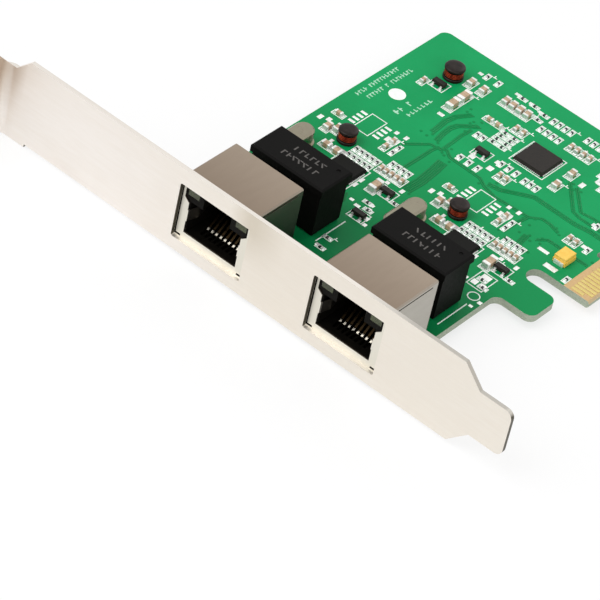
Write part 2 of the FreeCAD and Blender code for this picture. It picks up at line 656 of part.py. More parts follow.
def make_choke(number):
    """Wire-wound drum choke: a ferrite drum and the copper winding round its waist."""
    radius, middle_x, middle_y = CHOKES[number]
    wide = "2 * (%s)" % radius
    waist = "2 * (%s - 0.95)" % radius
    drum = new_body("choke_core_%d" % (number + 1))
    for low, diameter, height in (
            ("0", wide, "sizes.choke_flange"), ("0.3", waist, "sizes.choke_tall - 0.5"),
            ("sizes.choke_tall - sizes.choke_flange", wide, "sizes.choke_flange")):
        disc = new_sketch(drum, "top", low)
        polygon(disc, middle_x, middle_y, diameter, CHOKE_SIDES)
        pad(drum, disc, height)
    top = value("sizes.choke_tall")
    soften(drum, "Chamfer", lambda at, run: abs(at.z - top) < 0.05, "0.3")

    coil = new_body("choke_winding_%d" % (number + 1))
    ring = new_sketch(coil, "top", "sizes.choke_flange")
    polygon(ring, middle_x, middle_y, wide + " - 0.2", CHOKE_SIDES)
    polygon(ring, middle_x, middle_y, waist, CHOKE_SIDES)
    pad(coil, ring, "sizes.choke_tall - 2 * sizes.choke_flange")


def make_tantalum():
    """Moulded tantalum capacitor with drafted sides, and the two straps bent round its ends."""
    body = new_body("tantalum_capacitor")
    for level, grow, height in (("0.15", 0.0, 0.85), ("1.0", -0.09, 0.9)):
        slab = new_sketch(body, "top", level)
        rectangle(slab, "sizes.tantalum_x - sizes.tantalum_wide / 2 - (%s)" % grow,
                  "sizes.tantalum_y - sizes.tantalum_long / 2 - (%s)" % grow,
                  "sizes.tantalum_wide + 2 * (%s)" % grow, "sizes.tantalum_long + 2 * (%s)" % grow)
        pad(body, slab, "%s" % height)
    top = value("sizes.tantalum_tall")
    soften(body, "Chamfer", lambda at, run: abs(at.z - top) < 0.05, "0.12")
    straps = []
    for side in (-1, 1):
        end = size["tantalum_y"] + side * size["tantalum_long"] / 2
        profile = [(0, 0), (side * 0.22, 0), (side * 0.22, 0.95), (0, 0.95), (0, 0.14),
                   (-side * 1.0, 0.14), (-side * 1.0, 0)]
        points = [V(size["tantalum_x"] - 1.1, end + across, up) for across, up in profile]
        straps.append(Part.Face(Part.makePolygon(points + points[:1])).extrude(V(2.2, 0, 0)))
    return solids_feature("tantalum_terminals", straps)


# ------------------------------------------------------------------ small parts in rows

# Chip sizes as length, width and height over the terminations.
CHIP = {"0402": (1.0, 0.5, 0.35), "0603": (1.6, 0.8, 0.8), "0805": (2.0, 1.25, 1.0),
        "1206": (3.2, 1.6, 1.2)}

# Rows of parts: kind, size, first place, number in the row, step along X and Y, and True where
# each part lies along X. The first list belongs to one port and is repeated for the other.
PORT_ROWS = [
    ("capacitor", "0805", (41.6, 47.4), 2, (1.7, 1.0), False),
    ("capacitor", "0603", (40.4, 52.3), 1, (0, 0), True),
    ("capacitor", "0805", (45.0, 43.0), 2, (2.5, 0), True),
    ("resistor", "0402", (49.2, 44.5), 5, (1.25, 0), False),
    ("resistor", "0402", (49.2, 46.9), 5, (1.25, 0), False),
    ("capacitor", "0603", (55.9, 46.1), 5, (1.25, 0), False),
    ("resistor", "0402", (56.4, 48.9), 4, (1.3, 0), False),
    ("capacitor", "0603", (52.3, 51.9), 2, (0, 2.3), False),
    ("resistor", "0402", (54.2, 51.6), 2, (0, 2.0), False),
    ("capacitor", "1206", (58.7, 41.0), 1, (0, 0), False),
    ("resistor", "0402", (64.0, 40.2), 1, (0, 0), True),
    ("resistor", "0402", (60.6, 36.4), 2, (1.4, -1.7), True),
]
BOARD_ROWS = [
    ("capacitor", "0805", (50.7, 80.6), 2, (3.0, 0), False),
    ("capacitor", "1206", (52.6, 75.9), 2, (0, -3.6), False),
    ("capacitor", "0603", (44.2, 73.6), 1, (0, 0), False),
    ("resistor", "0402", (51.4, 85.0), 2, (2.7, 0), False),
    ("capacitor", "0805", (58.6, 81.6), 4, (1.75, 0), False),
    ("resistor", "0402", (60.0, 85.3), 2, (3.0, 0), True),
    ("resistor", "0402", (65.9, 82.4), 2, (0, 2.2), True),
    ("resistor", "0402", (68.2, 84.6), 4, (1.45, 0), False),
    ("resistor", "0402", (68.0, 80.7), 4, (1.45, 0), False),
    ("capacitor", "0603", (75.2, 80.9), 4, (1.5, 0), False),
    ("resistor", "0402", (76.0, 85.4), 3, (1.5, 0), False),
    ("capacitor", "0603", (60.0, 74.6), 2, (2.1, 0), True),
    ("capacitor", "0603", (65.0, 76.6), 2, (1.7, 0), False),
    ("resistor", "0402", (64.4, 74.0), 4, (0, -1.35), True),
    ("resistor", "0402", (66.6, 74.0), 4, (0, -1.35), True),
    ("resistor", "0402", (61.2, 69.2), 2, (1.3, 0), False),
    ("resistor", "0402", (63.3, 61.1), 3, (2.1, 0), False),
    ("capacitor", "0603", (71.6, 62.7), 2, (1.5, 0), False),
    ("resistor", "0402", (69.6, 65.9), 3, (1.8, 0), False),
    ("resistor", "0402", (75.6, 65.5), 3, (1.4, 0), False),
    ("capacitor", "0805", (80.3, 74.3), 1, (0, 0), False),
    ("capacitor", "0805", (80.3, 69.2), 1, (0, 0), False),
    ("resistor", "0402", (84.0, 79.0), 3, (1.2, -1.7), False),
    ("capacitor", "0603", (91.4, 58.8), 2, (1.5, 0), False),
    ("resistor", "0402", (95.6, 58.9), 1, (0, 0), False),
    ("resistor", "0402", (92.6, 66.0), 1, (0, 0), False),
    ("resistor", "0402", (98.0, 49.1), 1, (0, 0), False),
    ("resistor", "0402", (62.2, 22.6), 2, (0.8, -3.1), True),
]
TRANSISTORS = [(61.2, 41.4), (61.8, 32.2), (88.6, 41.4), (65.3, 65.4), (46.9, 75.3)]


def chip_solid(kind, length, wide, tall, along_x):
    """A chip part in one solid: a capacitor's terminations stand a little proud of its body."""
    cap, proud = 0.25 * length, 0.04
    half = length / 2
    sides = [(-half, 0), (half, 0), (half, tall), (-half, tall)]
    if kind == "capacitor":
        sides[3:3] = [(half - cap, tall), (half - cap, tall - proud),
                      (cap - half, tall - proud), (cap - half, tall)]
    points = [V(across, -wide / 2, up) for across, up in sides]
    solid = Part.Face(Part.makePolygon(points + points[:1])).extrude(V(0, wide, 0))
    if not along_x:
        solid.rotate(V(0, 0, 0), V(0, 0, 1), 90)
    return solid


def make_small_parts():
    """Ceramic capacitors and chip resistors, one node for each kind."""
    shift = V(size["channel_pitch"], 0, 0)
    rows = [(row, V(0, 0, 0)) for row in BOARD_ROWS + PORT_ROWS]
    rows += [(row, shift) for row in PORT_ROWS]
    found = {"capacitor": [], "resistor": []}
    for (kind, code, first, count, step, along_x), move in rows:
        for i in range(count):
            solid = chip_solid(kind, *CHIP[code], along_x)
            solid.translate(V(first[0] + i * step[0], first[1] + i * step[1], 0) + move)
            found[kind].append(solid)
    solids_feature("ceramic_capacitors", found["capacitor"])
    solids_feature("chip_resistors", found["resistor"])


def make_transistors():
    """Small three-legged transistors: body and gull-wing legs in one solid each."""
    solids = []
    for place in TRANSISTORS:
        body = Part.makeBox(2.9, 1.3, 0.9, V(-1.45, -0.65, 0.1))
        for x, side in ((-0.95, -1), (0.95, -1), (0, 1)):
            leg = [V(x - 0.2, side * 0.6, 0.45), V(x - 0.2, side * 0.85, 0.45),
                   V(x - 0.2, side * 1.25, 0.14), V(x - 0.2, side * 1.25, 0),
                   V(x - 0.2, side * 0.85, 0), V(x - 0.2, side * 0.6, 0.2)]
            body = body.fuse(Part.Face(Part.makePolygon(leg + leg[:1])).extrude(V(0.4, 0, 0)))
        body.translate(V(place[0], place[1], 0))
        solids.append(body.removeSplitter())
    return solids_feature("transistors", solids)


def make_solder_joints():
    """Solder domes on the far face, where the sockets' and magnetics' pins come through."""
    level = -size["board_thickness"]
    places = []
    for port in (0, 1):
        middle = value(port_middle(port))
        for i in range(8):
            row = 2.54 * (i % 2)
            places.append((middle + (i - 3.5) * size["wire_pitch"], 11.2 + row))
        left = size["magnetics_first"] + port * size["magnetics_pitch"]
        for i in range(12):
            across = left + size["magnetics_wide"] / 2 + (i - 5.5) * 1.27
            places.append((across, size["magnetics_front"] + 1.6))
            places.append((across, size["magnetics_front"] + size["magnetics_deep"] - 1.6))
    domes = []
    for across, along in places:
        dome = prism(6, 0, -0.5, 0.52, 0)
        dome.translate(V(across, along, level))
        domes.append(dome)
    return solids_feature("solder_joints", domes)


# ------------------------------------------------------------------ build, check and write


def build():
    make_bracket()
    make_board()
    make_edge_contacts()
    make_bracket_screws()
    for port in (0, 1):
        make_shield(port)
        make_housing(port)
        make_wires(port)
        make_lamps(port)
        make_magnetics(port)
        make_crystal(port)
        middle = "sizes.controller_middle + %d * sizes.channel_pitch" % port
        make_chip("controller_%d" % (port + 1), "sizes.controller_side", middle,
                  "sizes.controller_rear - sizes.controller_side / 2")
    make_chip("bridge_chip", "sizes.bridge_side", "sizes.bridge_x", "sizes.bridge_y")
    for number in range(len(CHOKES)):
        make_choke(number)
    make_tantalum()
    make_small_parts()
    make_transistors()
    make_solder_joints()
    document.recompute()


def check_and_write():
    for item in document.Objects:
        if "Invalid" in item.State or "Error" in item.State:
            raise RuntimeError("%s failed to build" % item.Label)
    os.makedirs("parts", exist_ok=True)
    for piece in NODES:
        shape = piece.Shape
        if shape.isNull() or not shape.isValid():
            raise RuntimeError("%s has no sound shape" % piece.Label)
        shape.exportStep("parts/%s.step" % piece.Label)
        print("%-22s %3d solids %9.2f mm3" % (piece.Label, len(shape.Solids), shape.Volume))


build()
check_and_write()
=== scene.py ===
# %% [markdown]
# # A two-port network card, dressed over its engineering model
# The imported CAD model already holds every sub-part at its true size. This lesson loads it, gives
# each surface the finish of the real material, and adds what a solid model leaves out: copper
# tracks, white ink, pads, solder, chip terminations and the wire on the chokes.
#
# The card plugs into a computer's board by its gold fingers. The bent bracket closes the opening
# in the case, and two network leads plug into its shielded sockets. Nothing on it moves, so every
# piece rides on the one body, `root`.

import math
import random

import bmesh
import bpy
from mathutils import Matrix, Vector


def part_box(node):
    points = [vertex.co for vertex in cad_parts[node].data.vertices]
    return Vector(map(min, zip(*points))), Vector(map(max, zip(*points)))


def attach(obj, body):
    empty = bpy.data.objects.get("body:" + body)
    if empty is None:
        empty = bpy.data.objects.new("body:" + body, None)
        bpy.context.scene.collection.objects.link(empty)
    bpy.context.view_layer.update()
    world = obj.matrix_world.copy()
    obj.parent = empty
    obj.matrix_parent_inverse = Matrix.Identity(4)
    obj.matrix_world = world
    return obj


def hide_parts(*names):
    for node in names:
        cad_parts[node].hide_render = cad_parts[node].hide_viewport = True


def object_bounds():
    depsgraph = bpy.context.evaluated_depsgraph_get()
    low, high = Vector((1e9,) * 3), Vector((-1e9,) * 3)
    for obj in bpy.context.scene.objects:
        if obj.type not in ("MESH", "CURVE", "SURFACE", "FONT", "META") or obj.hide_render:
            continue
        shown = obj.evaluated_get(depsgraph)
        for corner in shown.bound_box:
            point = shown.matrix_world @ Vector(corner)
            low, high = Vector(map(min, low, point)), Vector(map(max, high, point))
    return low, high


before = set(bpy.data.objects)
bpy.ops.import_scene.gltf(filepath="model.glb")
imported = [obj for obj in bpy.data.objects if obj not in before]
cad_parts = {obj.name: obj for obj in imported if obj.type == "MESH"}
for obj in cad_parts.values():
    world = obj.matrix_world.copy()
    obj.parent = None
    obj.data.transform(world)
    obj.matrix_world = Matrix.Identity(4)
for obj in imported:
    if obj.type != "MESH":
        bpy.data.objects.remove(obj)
cad_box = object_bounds()
MM = 0.001
print("nodes in the frame:", len(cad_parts))

# %% [markdown]
# The card is laid out in millimetres from three planes that a maker would measure from: the
# flange's outer face (x), the bracket's front face (y) and the board's component face (z). The
# three planes are read from the frame, so no place is typed in world coordinates. The two network
# channels share one layout, repeated one channel pitch further along the bracket.

# %% places on the card
bracket_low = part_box("bracket")[0]
board_low, board_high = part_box("circuit_board")
PLATE_FRONT_TO_BOARD_REAR = 90.0
ORIGIN = Vector((bracket_low[0], board_high[1] - PLATE_FRONT_TO_BOARD_REAR * MM, board_high[2]))
BOARD_THICK = (board_high[2] - board_low[2]) / MM
CHANNEL_PITCH = 27.4
PORTS = [(sum(corner[0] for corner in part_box(node)) / 2 - ORIGIN.x) / MM
         for node in ("jack_shield_1", "jack_shield_2")]


def at(x, y, z=0.0):
    """A point given in millimetres on the card, as a place in the scene."""
    return ORIGIN + Vector((x, y, z)) * MM


def card_box(node):
    """A node's lowest and highest corners, in millimetres on the card."""
    return [(Vector(corner) - ORIGIN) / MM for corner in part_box(node)]


print("board thickness, mm:", round(BOARD_THICK, 2))
print("middles of the ports, mm:", [round(port, 1) for port in PORTS])

# %% [markdown]
# ## Shader maths as plain arithmetic
# A material is a graph of nodes. Wiring it by hand takes several lines for each sum. Wrapping a
# socket in a small class lets the graph be written as an expression instead: `1 - mask * 0.5` adds
# the Math nodes by itself. Colours are mixed with a Mix node, because a Math node would turn them
# grey, and every other node comes from the one method `node`.


# %% shader toolkit
class Value:
    """A node's output that Python's operators can combine."""

    def __init__(self, graph, socket):
        self.graph = graph
        self.socket = socket

    def _join(self, operation, first, second):
        return self.graph.node("ShaderNodeMath", {"operation": operation}, {0: first, 1: second})

    def __add__(self, other):
        return self._join("ADD", self, other)

    def __radd__(self, other):
        return self._join("ADD", other, self)

    def __sub__(self, other):
        return self._join("SUBTRACT", self, other)

    def __rsub__(self, other):
        return self._join("SUBTRACT", other, self)

    def __mul__(self, other):
        return self._join("MULTIPLY", self, other)

    def __rmul__(self, other):
        return self._join("MULTIPLY", other, self)

    def over(self, limit):
        return self._join("GREATER_THAN", self, limit)

    def either(self, other):
        return self._join("MAXIMUM", self, other)


class Graph:
    """A tree of shader nodes, all made by one method."""

    def __init__(self, tree):
        self.tree = tree

    def node(self, kind, settings, values, output=0):
        """A node of some kind: its settings first, then its sockets' values or links."""
        made = self.tree.nodes.new(kind)
        for key, setting in settings.items():
            setattr(made, key, setting)
        for key, item in values.items():
            if isinstance(item, Value):
                self.tree.links.new(item.socket, made.inputs[key])
            else:
                made.inputs[key].default_value = item
        return Value(self, made.outputs[output])

    def spread(self, item, low, high, to_low=0.0, to_high=1.0):
        """Stretches part of a value's range to a new range, clamped."""
        values = {0: item, 1: low, 2: high, 3: to_low, 4: to_high}
        return self.node("ShaderNodeMapRange", {"clamp": True}, values)

    def seen(self):
        """1 for what the camera sees directly, in a gloss or through glass, otherwise 0."""
        straight, gloss, glass = [
            self.node("ShaderNodeLightPath", {}, {}, "Is %s Ray" % kind)
            for kind in ("Camera", "Glossy", "Transmission")]
        return straight.either(gloss).either(glass)


class Surface(Graph):
    """A material with one Principled shader, built by short calls."""

    def __init__(self, name, **constants):
        self.material = bpy.data.materials.new(name)
        self.material.use_nodes = True
        super().__init__(self.material.node_tree)
        self.shader = self.tree.nodes["Principled BSDF"]
        for socket, number in constants.items():
            self.shader.inputs[socket.replace("_", " ")].default_value = number
        self.place = self.node("ShaderNodeTexCoord", {}, {}, "Object")
        print("finish:", name)

    def feed(self, socket, item):
        self.tree.links.new(item.socket, self.shader.inputs[socket])

    def noise(self, per_metre, detail, rough=0.55, stretch=(1, 1, 1)):
        """Noise between 0 and 1 with so many features in a metre."""
        placed = self.node("ShaderNodeMapping", {}, {"Vector": self.place, "Scale": stretch})
        values = {"Vector": placed, "Scale": per_metre, "Detail": detail, "Roughness": rough}
        return self.node("ShaderNodeTexNoise", {}, values)

    def blend(self, factor, first, second):
        """A colour between two colours."""
        settings = {"data_type": "RGBA"}
        return self.node("ShaderNodeMix", settings, {0: factor, 6: first, 7: second}, 2)

    def bump(self, height, depth_mm, strength):
        """Lets a height that varies tilt the surface, without moving it."""
        values = {"Height": height, "Distance": depth_mm * MM, "Strength": strength}
        self.feed("Normal", self.node("ShaderNodeBump", {}, values))

    def facing(self, axis):
        """How far the surface faces along an axis, from -1 to 1."""
        normal = self.node("ShaderNodeNewGeometry", {}, {}, "Normal")
        return self.node("ShaderNodeSeparateXYZ", {}, {0: normal}, axis)

    def along(self, axis):
        """The place on the card along an axis, in millimetres."""
        part = self.node("ShaderNodeSeparateXYZ", {}, {0: self.place}, axis)
        return (part - ORIGIN["XYZ".index(axis)]) * 1000

    def near(self, item, middle, half):
        """1 where a value lies within half of a middle, otherwise 0."""
        return self.node("ShaderNodeMath", {"operation": "COMPARE"}, {0: item, 1: middle, 2: half})


def ink(red, green, blue):
    """A colour as a painter's 0 to 255 numbers, turned to the renderer's linear scale."""
    scaled = [number / 255 for number in (red, green, blue)]
    linear = [c / 12.92 if c < 0.04045 else ((c + 0.055) / 1.055) ** 2.4 for c in scaled]
    return (*linear, 1.0)


# %% [markdown]
# ## Finishes
# The solder mask is a thin green lacquer over glass cloth: even in colour from afar, with faint
# mottling, a shallow weave and a soft gloss. Its green is painted darker towards the front of the
# board and darker still at its foot, as painted shade from the sockets and modules. The board's
# cut edge has no lacquer, so it shows the pale laminate, and so does the strip that carries the
# gold fingers. A painted image could give all this, but it blurs close by. Here a point's colour
# follows from its place on the card, in millimetres, and from whether the surface faces up or
# sideways, so it stays sharp at any distance.


# %% solder mask and laminate
def make_board_finish(name, mask, deep, front, foot, cut_dark, cut_light):
    """Four lacquer greens, rear to foot, the front two painted shade, and two edge colours."""
    finish = Surface(name, Specular_IOR_Level=0.1)
    x, y = finish.along("X"), finish.along("Y")
    green = finish.blend(finish.spread(finish.noise(90, 4), 0.35, 0.7), mask, deep)
    # painted shade: darker lacquer towards the board's front and darker still at its foot
    green = finish.blend(finish.spread(y, 62, 44), green, front)
    green = finish.blend(finish.spread(y, 36, 24), green, foot)
    speckle = finish.noise(2600, 2)
    # no lacquer on the tongues of the edge connector
    bare = x.over(98.6) * finish.near(y, 58.1, 11.0)
    laminate = finish.blend(speckle, ink(196, 160, 112), ink(214, 184, 136))
    green = finish.blend(bare, green, laminate)
    upward = finish.facing("Z")
    sideways = 1 - finish.spread(upward * upward, 0.3, 0.6)
    edge = finish.blend(speckle, cut_dark, cut_light)
    finish.feed("Base Color", finish.blend(sideways, green, edge))
    finish.feed("Roughness", finish.spread(sideways, 0, 1, 0.36, 0.8))
    threads = {"Vector": finish.place, "Scale": 330.0, "Distortion": 0.6}
    warp, weft = [finish.node("ShaderNodeTexWave", {"bands_direction": axis}, threads)
                  for axis in ("X", "Y")]
    finish.bump(warp * weft + finish.noise(500, 2) * 0.6, 0.006, 0.5)
    return finish.material


# the third and fourth greens are painted shade, towards the board's front and foot
mask_green = make_board_finish("solder_mask", ink(15, 155, 90), ink(12, 147, 84),
                               ink(9, 136, 75), ink(8, 116, 64), ink(140, 152, 136),
                               ink(184, 190, 172))
track_green = make_board_finish("masked_copper", ink(7, 132, 72), ink(6, 126, 67),
                                ink(5, 114, 60), ink(5, 98, 52), ink(5, 110, 60),
                                ink(6, 122, 68))

# %% [markdown]
# Plated metal is never a perfect mirror. Rolling, drawing and plating leave fine streaks and a
# slow change of tone. One shiny grey for all of it would look like plastic, so one function makes
# each plating from a colour pair and a roughness pair.


# %% metals
def make_metal(name, light, dark, smooth, rough, metallic=1.0):
    finish = Surface(name, Metallic=metallic)
    slow = finish.noise(45, 3)
    streak = finish.noise(900, 4, 0.6)
    tone = finish.spread(slow * 0.6 + streak * 0.4, 0.35, 0.65)
    finish.feed("Base Color", finish.blend(tone, dark, light))
    finish.feed("Roughness", finish.spread(streak, 0.3, 0.7, smooth, rough))
    finish.bump(streak, 0.004, 0.35)
    return finish.material


can_metal = make_metal("crystal_nickel", ink(150, 144, 126), ink(143, 136, 119), 0.26, 0.34)
tin_metal = make_metal("tinned_copper", ink(238, 238, 234), ink(220, 221, 218), 0.3, 0.5,
                       metallic=0.6)
solder_metal = make_metal("solder", ink(234, 236, 232), ink(212, 216, 212), 0.24, 0.42,
                          metallic=0.7)
screw_metal = make_metal("bright_zinc", ink(208, 208, 204), ink(184, 184, 182), 0.2, 0.32)
gold_metal = make_metal("gold_plate", ink(210, 193, 128), ink(198, 176, 104), 0.26, 0.4)
copper_metal = make_metal("enamelled_copper", ink(150, 61, 37), ink(86, 28, 19), 0.16, 0.3)

# %% [markdown]
# The sheet parts get one thing more. A sheared edge is raw and dull next to the plated face, and a
# long face is never even in tone, so the colour also follows the face's direction and the place
# along the sheet. Part of it is painted light: a painted reflection above the space between the
# ports, painted shade in the flange's bend and on the edges that face the tongue. The streaks are
# noise squeezed along one axis, the way the sheet was rolled.


# %% bracket sheet
def make_bracket_finish():
    finish = Surface("satin_nickel", Metallic=0.8)
    slow = finish.noise(30, 3)
    streak = finish.noise(1400, 4, 0.6, (0.12, 1, 1))
    x, y, z = finish.along("X"), finish.along("Y"), finish.along("Z")
    face = finish.blend(finish.spread(x, 30, 62), ink(243, 237, 231), ink(235, 228, 217))
    # painted reflection: the plate is a shade darker above the space between the ports
    painted_reflection_between_ports = finish.spread(x, 55, 59.5) * finish.spread(x, 68, 61)
    painted_reflection_between_ports = painted_reflection_between_ports * finish.spread(z, 5, 12.5)
    face = finish.blend(painted_reflection_between_ports, face, ink(212, 203, 187))
    face = finish.blend(finish.spread(x, 72, 96), face, ink(237, 231, 221))
    cloud = finish.spread(slow * 0.7 + streak * 0.3, 0.4, 0.6, 0.0, 0.25)
    face = finish.blend(cloud, face, ink(224, 214, 200))
    # painted shade on the inner face of the flange's bend
    corner = finish.spread(x, 5.5, 0.5) * finish.spread(z, 2, 12)
    corner = corner * finish.spread(y, -9, -3)
    face = finish.blend(corner, face, ink(198, 180, 162))
    # sheared edges: the long upper one, then those that face the tongue
    edge = finish.blend(finish.spread(x, 84, 97), ink(222, 216, 208), ink(176, 172, 164))
    face = finish.blend(finish.spread(finish.facing("Z"), 0.6, 0.9), face, edge)
    # sheared edges that face the tongue, painted dark as painted shade
    shaded_end_edge = finish.spread(finish.facing("X"), 0.6, 0.9) * x.over(5)
    finish.feed("Base Color", finish.blend(shaded_end_edge, face, ink(84, 80, 68)))
    finish.feed("Roughness", finish.spread(streak, 0.3, 0.7, 0.36, 0.48))
    finish.bump(streak, 0.003, 0.3)
    return finish.material


bracket_metal = make_bracket_finish()

# %% [markdown]
# A socket's shield is thin tinned sheet. Its roof is brushed from front to rear and lightens
# towards the rear as a painted highlight. Its front frame is bright with a painted reflection.
# The first socket's side carries painted shade from its neighbour, darker towards the board, the
# second's is painted lighter, and the spring leaves carry painted shade in the dark of the mouth.
# One material holds all four, chosen by the face's direction and place.


# %% socket shields
def make_shield_finish():
    finish = Surface("shield_tin", Metallic=1.0)
    streak = finish.noise(700, 3, 0.5, (1, 0.2, 1))
    x, y, z = finish.along("X"), finish.along("Y"), finish.along("Z")
    # painted highlight: the roof lightens towards the rear
    roof = finish.blend(finish.spread(y, 1, 14), ink(137, 122, 107), ink(153, 139, 124))
    roof = finish.blend(finish.spread(streak, 0.35, 0.65, 0.0, 0.1), roof, ink(122, 110, 97))
    # painted reflection: faces that look forward are painted bright
    front = finish.spread(finish.facing("Y") * -1, 0.6, 0.9)
    skin = finish.blend(front, roof, ink(228, 224, 212))
    # painted shade: a socket's side darkens towards the board
    shade = finish.blend(finish.spread(z, 2, 14), ink(34, 36, 32), ink(140, 136, 126))
    # only the first socket's side stands close to the second socket, so the second's is painted
    # lighter
    side = finish.blend(x.over(75), shade, ink(176, 172, 163))
    skin = finish.blend(finish.spread(finish.facing("X"), 0.6, 0.9), skin, side)
    # painted shade on the spring leaves in the dark of each mouth
    in_mouth = finish.near(x, PORTS[0], 7.0) + finish.near(x, PORTS[1], 7.0)
    mouth_shade = in_mouth * y.over(1.25) * (1 - z.over(12))
    finish.feed("Base Color", finish.blend(mouth_shade, skin, ink(74, 70, 64)))
    finish.feed("Roughness", finish.spread(streak, 0.3, 0.7, 0.42, 0.5))
    finish.bump(streak, 0.003, 0.3)
    return finish.material


shield_metal = make_shield_finish()

# %% [markdown]
# Each socket has eight sprung wires. Only the bends at the mouth's floor catch the light, so the
# plating has a painted highlight in a narrow band of depth and painted shade behind it.


# %% contact wires
def make_contact_finish():
    finish = Surface("contact_gold", Metallic=1.0)
    rubbed = finish.noise(900, 3)
    depth = finish.along("Y")
    # painted highlight in a narrow band of depth, painted shade before and behind it
    painted_highlight_band = finish.spread(depth, 4.4, 4.6) * finish.spread(depth, 5.0, 4.8)
    gold = finish.blend(rubbed, ink(255, 250, 236), ink(246, 236, 214))
    finish.feed("Base Color", finish.blend(painted_highlight_band, ink(40, 31, 19), gold))
    finish.feed("Roughness", finish.spread(rubbed, 0.3, 0.7, 0.22, 0.4))
    return finish.material


wire_gold = make_contact_finish()

# %% [markdown]
# Moulded and pressed materials scatter light instead: a fine grain in the bump and a small change
# of colour are enough, with the gloss set by what the material is. Filled epoxy is dull, fired
# glaze is smooth, and a light pipe lets some light through.


# %% plastics, ceramics and ink
def make_solid(name, light, dark, rough, grain=1500, depth=0.01, **constants):
    finish = Surface(name, **constants)
    fine = finish.noise(grain, 4)
    finish.feed("Base Color", finish.blend(finish.spread(fine, 0.3, 0.7), dark, light))
    finish.feed("Roughness", finish.spread(fine, 0.3, 0.7, rough - 0.05, rough + 0.08))
    finish.bump(fine, depth, 0.5)
    return finish.material


module_black = make_solid("module_black", ink(18, 17, 16), ink(11, 11, 10), 0.5, 1600, 0.02,
                          Specular_IOR_Level=0.05)
chip_black = make_solid("chip_epoxy", ink(44, 40, 36), ink(32, 29, 27), 0.46, 2600,
                        Specular_IOR_Level=0.15)
# painted shade: the controllers' epoxy is darker than the bridge chip's, as the modules shade it
shaded_controller_epoxy = make_solid("controller_epoxy_painted_shade", ink(22, 22, 19), ink(15, 15, 13), 0.5, 2600,
                          Specular_IOR_Level=0.08)
housing_black = make_solid("housing_black", ink(14, 12, 8), ink(8, 7, 5), 0.5, 900,
                           Specular_IOR_Level=0.07)
ferrite_black = make_solid("ferrite", ink(36, 26, 22), ink(22, 16, 14), 0.3, 900,
                           Specular_IOR_Level=0.17)
ceramic_tan = make_solid("ceramic_body", ink(196, 170, 140), ink(160, 132, 104), 0.4)
resistor_glaze = make_solid("resistor_glaze", ink(34, 34, 38), ink(20, 20, 24), 0.3)
tantalum_yellow = make_solid("tantalum_case", ink(246, 204, 92), ink(236, 188, 70), 0.4)
white_ink = make_solid("white_ink", ink(246, 252, 246), ink(232, 242, 232), 0.6)
thin_ink = make_solid("thin_white_ink", ink(184, 226, 200), ink(150, 208, 176), 0.6, 2500)
grey_ink = make_solid("laser_mark", ink(88, 84, 80), ink(66, 64, 62), 0.7)
lens_olive = make_solid("lamp_lens", ink(78, 86, 50), ink(52, 56, 32), 0.22, 500, 0.005,
                        Transmission_Weight=0.25)

# %% [markdown]
# Each carried CAD node takes one finish. Its mesh is left as it came, because the shape belongs to
# the engineering model, and only the material slots change. Nodes that differ only by a number
# share a finish, so the number is taken off the name before the finish is looked up.


# %% dress the carried nodes
def wear(piece, material):
    piece.data.materials.clear()
    piece.data.materials.append(material)


FINISH_OF = {
    "circuit_board": mask_green, "edge_contacts": gold_metal, "bracket": bracket_metal,
    "bracket_screws": screw_metal, "jack_shield": shield_metal, "jack_housing": housing_black,
    "jack_contacts": wire_gold, "jack_lights": lens_olive, "magnetics": module_black,
    "crystal": can_metal, "controller": shaded_controller_epoxy, "bridge_chip": chip_black,
    "choke_core": ferrite_black, "choke_winding": copper_metal,
    "tantalum_capacitor": tantalum_yellow, "tantalum_terminals": tin_metal,
    "ceramic_capacitors": ceramic_tan, "chip_resistors": resistor_glaze,
    "transistors": chip_black, "solder_joints": solder_metal,
}
for node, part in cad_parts.items():
    wear(part, FINISH_OF[node.rstrip("_123")])
print("nodes dressed:", len(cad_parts))

# %% [markdown]
# ## Two Geometry Nodes trees that do most of the work
# Everything on a board repeats: hundreds of pads, terminations, ink lines and tracks. Copying
# objects one by one would be slow and heavy, so two small trees cover them. One stamps a template
# at marked points, each with its own size and turn. The other sweeps a flat bar along a path. Both
# end in Realize Instances and Set Material, so that the result can be turned into an ordinary
# mesh.


# %% geometry node helpers
def new_tree(title, sockets):
    tree = bpy.data.node_groups.new(title, "GeometryNodeTree")
    face = tree.interface
    face.new_socket("Geometry", in_out="INPUT", socket_type="NodeSocketGeometry")
    for label, kind in sockets:
        face.new_socket(label, in_out="INPUT", socket_type="NodeSocket" + kind)
    face.new_socket("Geometry", in_out="OUTPUT", socket_type="NodeSocketGeometry")
    print("tree:", title, "with", ", ".join(label for label, kind in sockets))
    return tree


def add(tree, kind, values=None, **settings):
    """A node with its settings first, then its sockets' values or links."""
    made = tree.nodes.new(kind)
    for key, setting in settings.items():
        setattr(made, key, setting)
    for key, item in (values or {}).items():
        if isinstance(item, bpy.types.NodeSocket):
            tree.links.new(item, made.inputs[key])
        else:
            made.inputs[key].default_value = item
    return made


def end_tree(tree, socket, material):
    """Real faces instead of instances, in one finish."""
    real = add(tree, "GeometryNodeRealizeInstances", {0: socket})
    painted = add(tree, "GeometryNodeSetMaterial", {0: real.outputs[0], "Material": material})
    add(tree, "NodeGroupOutput", {0: painted.outputs[0]})


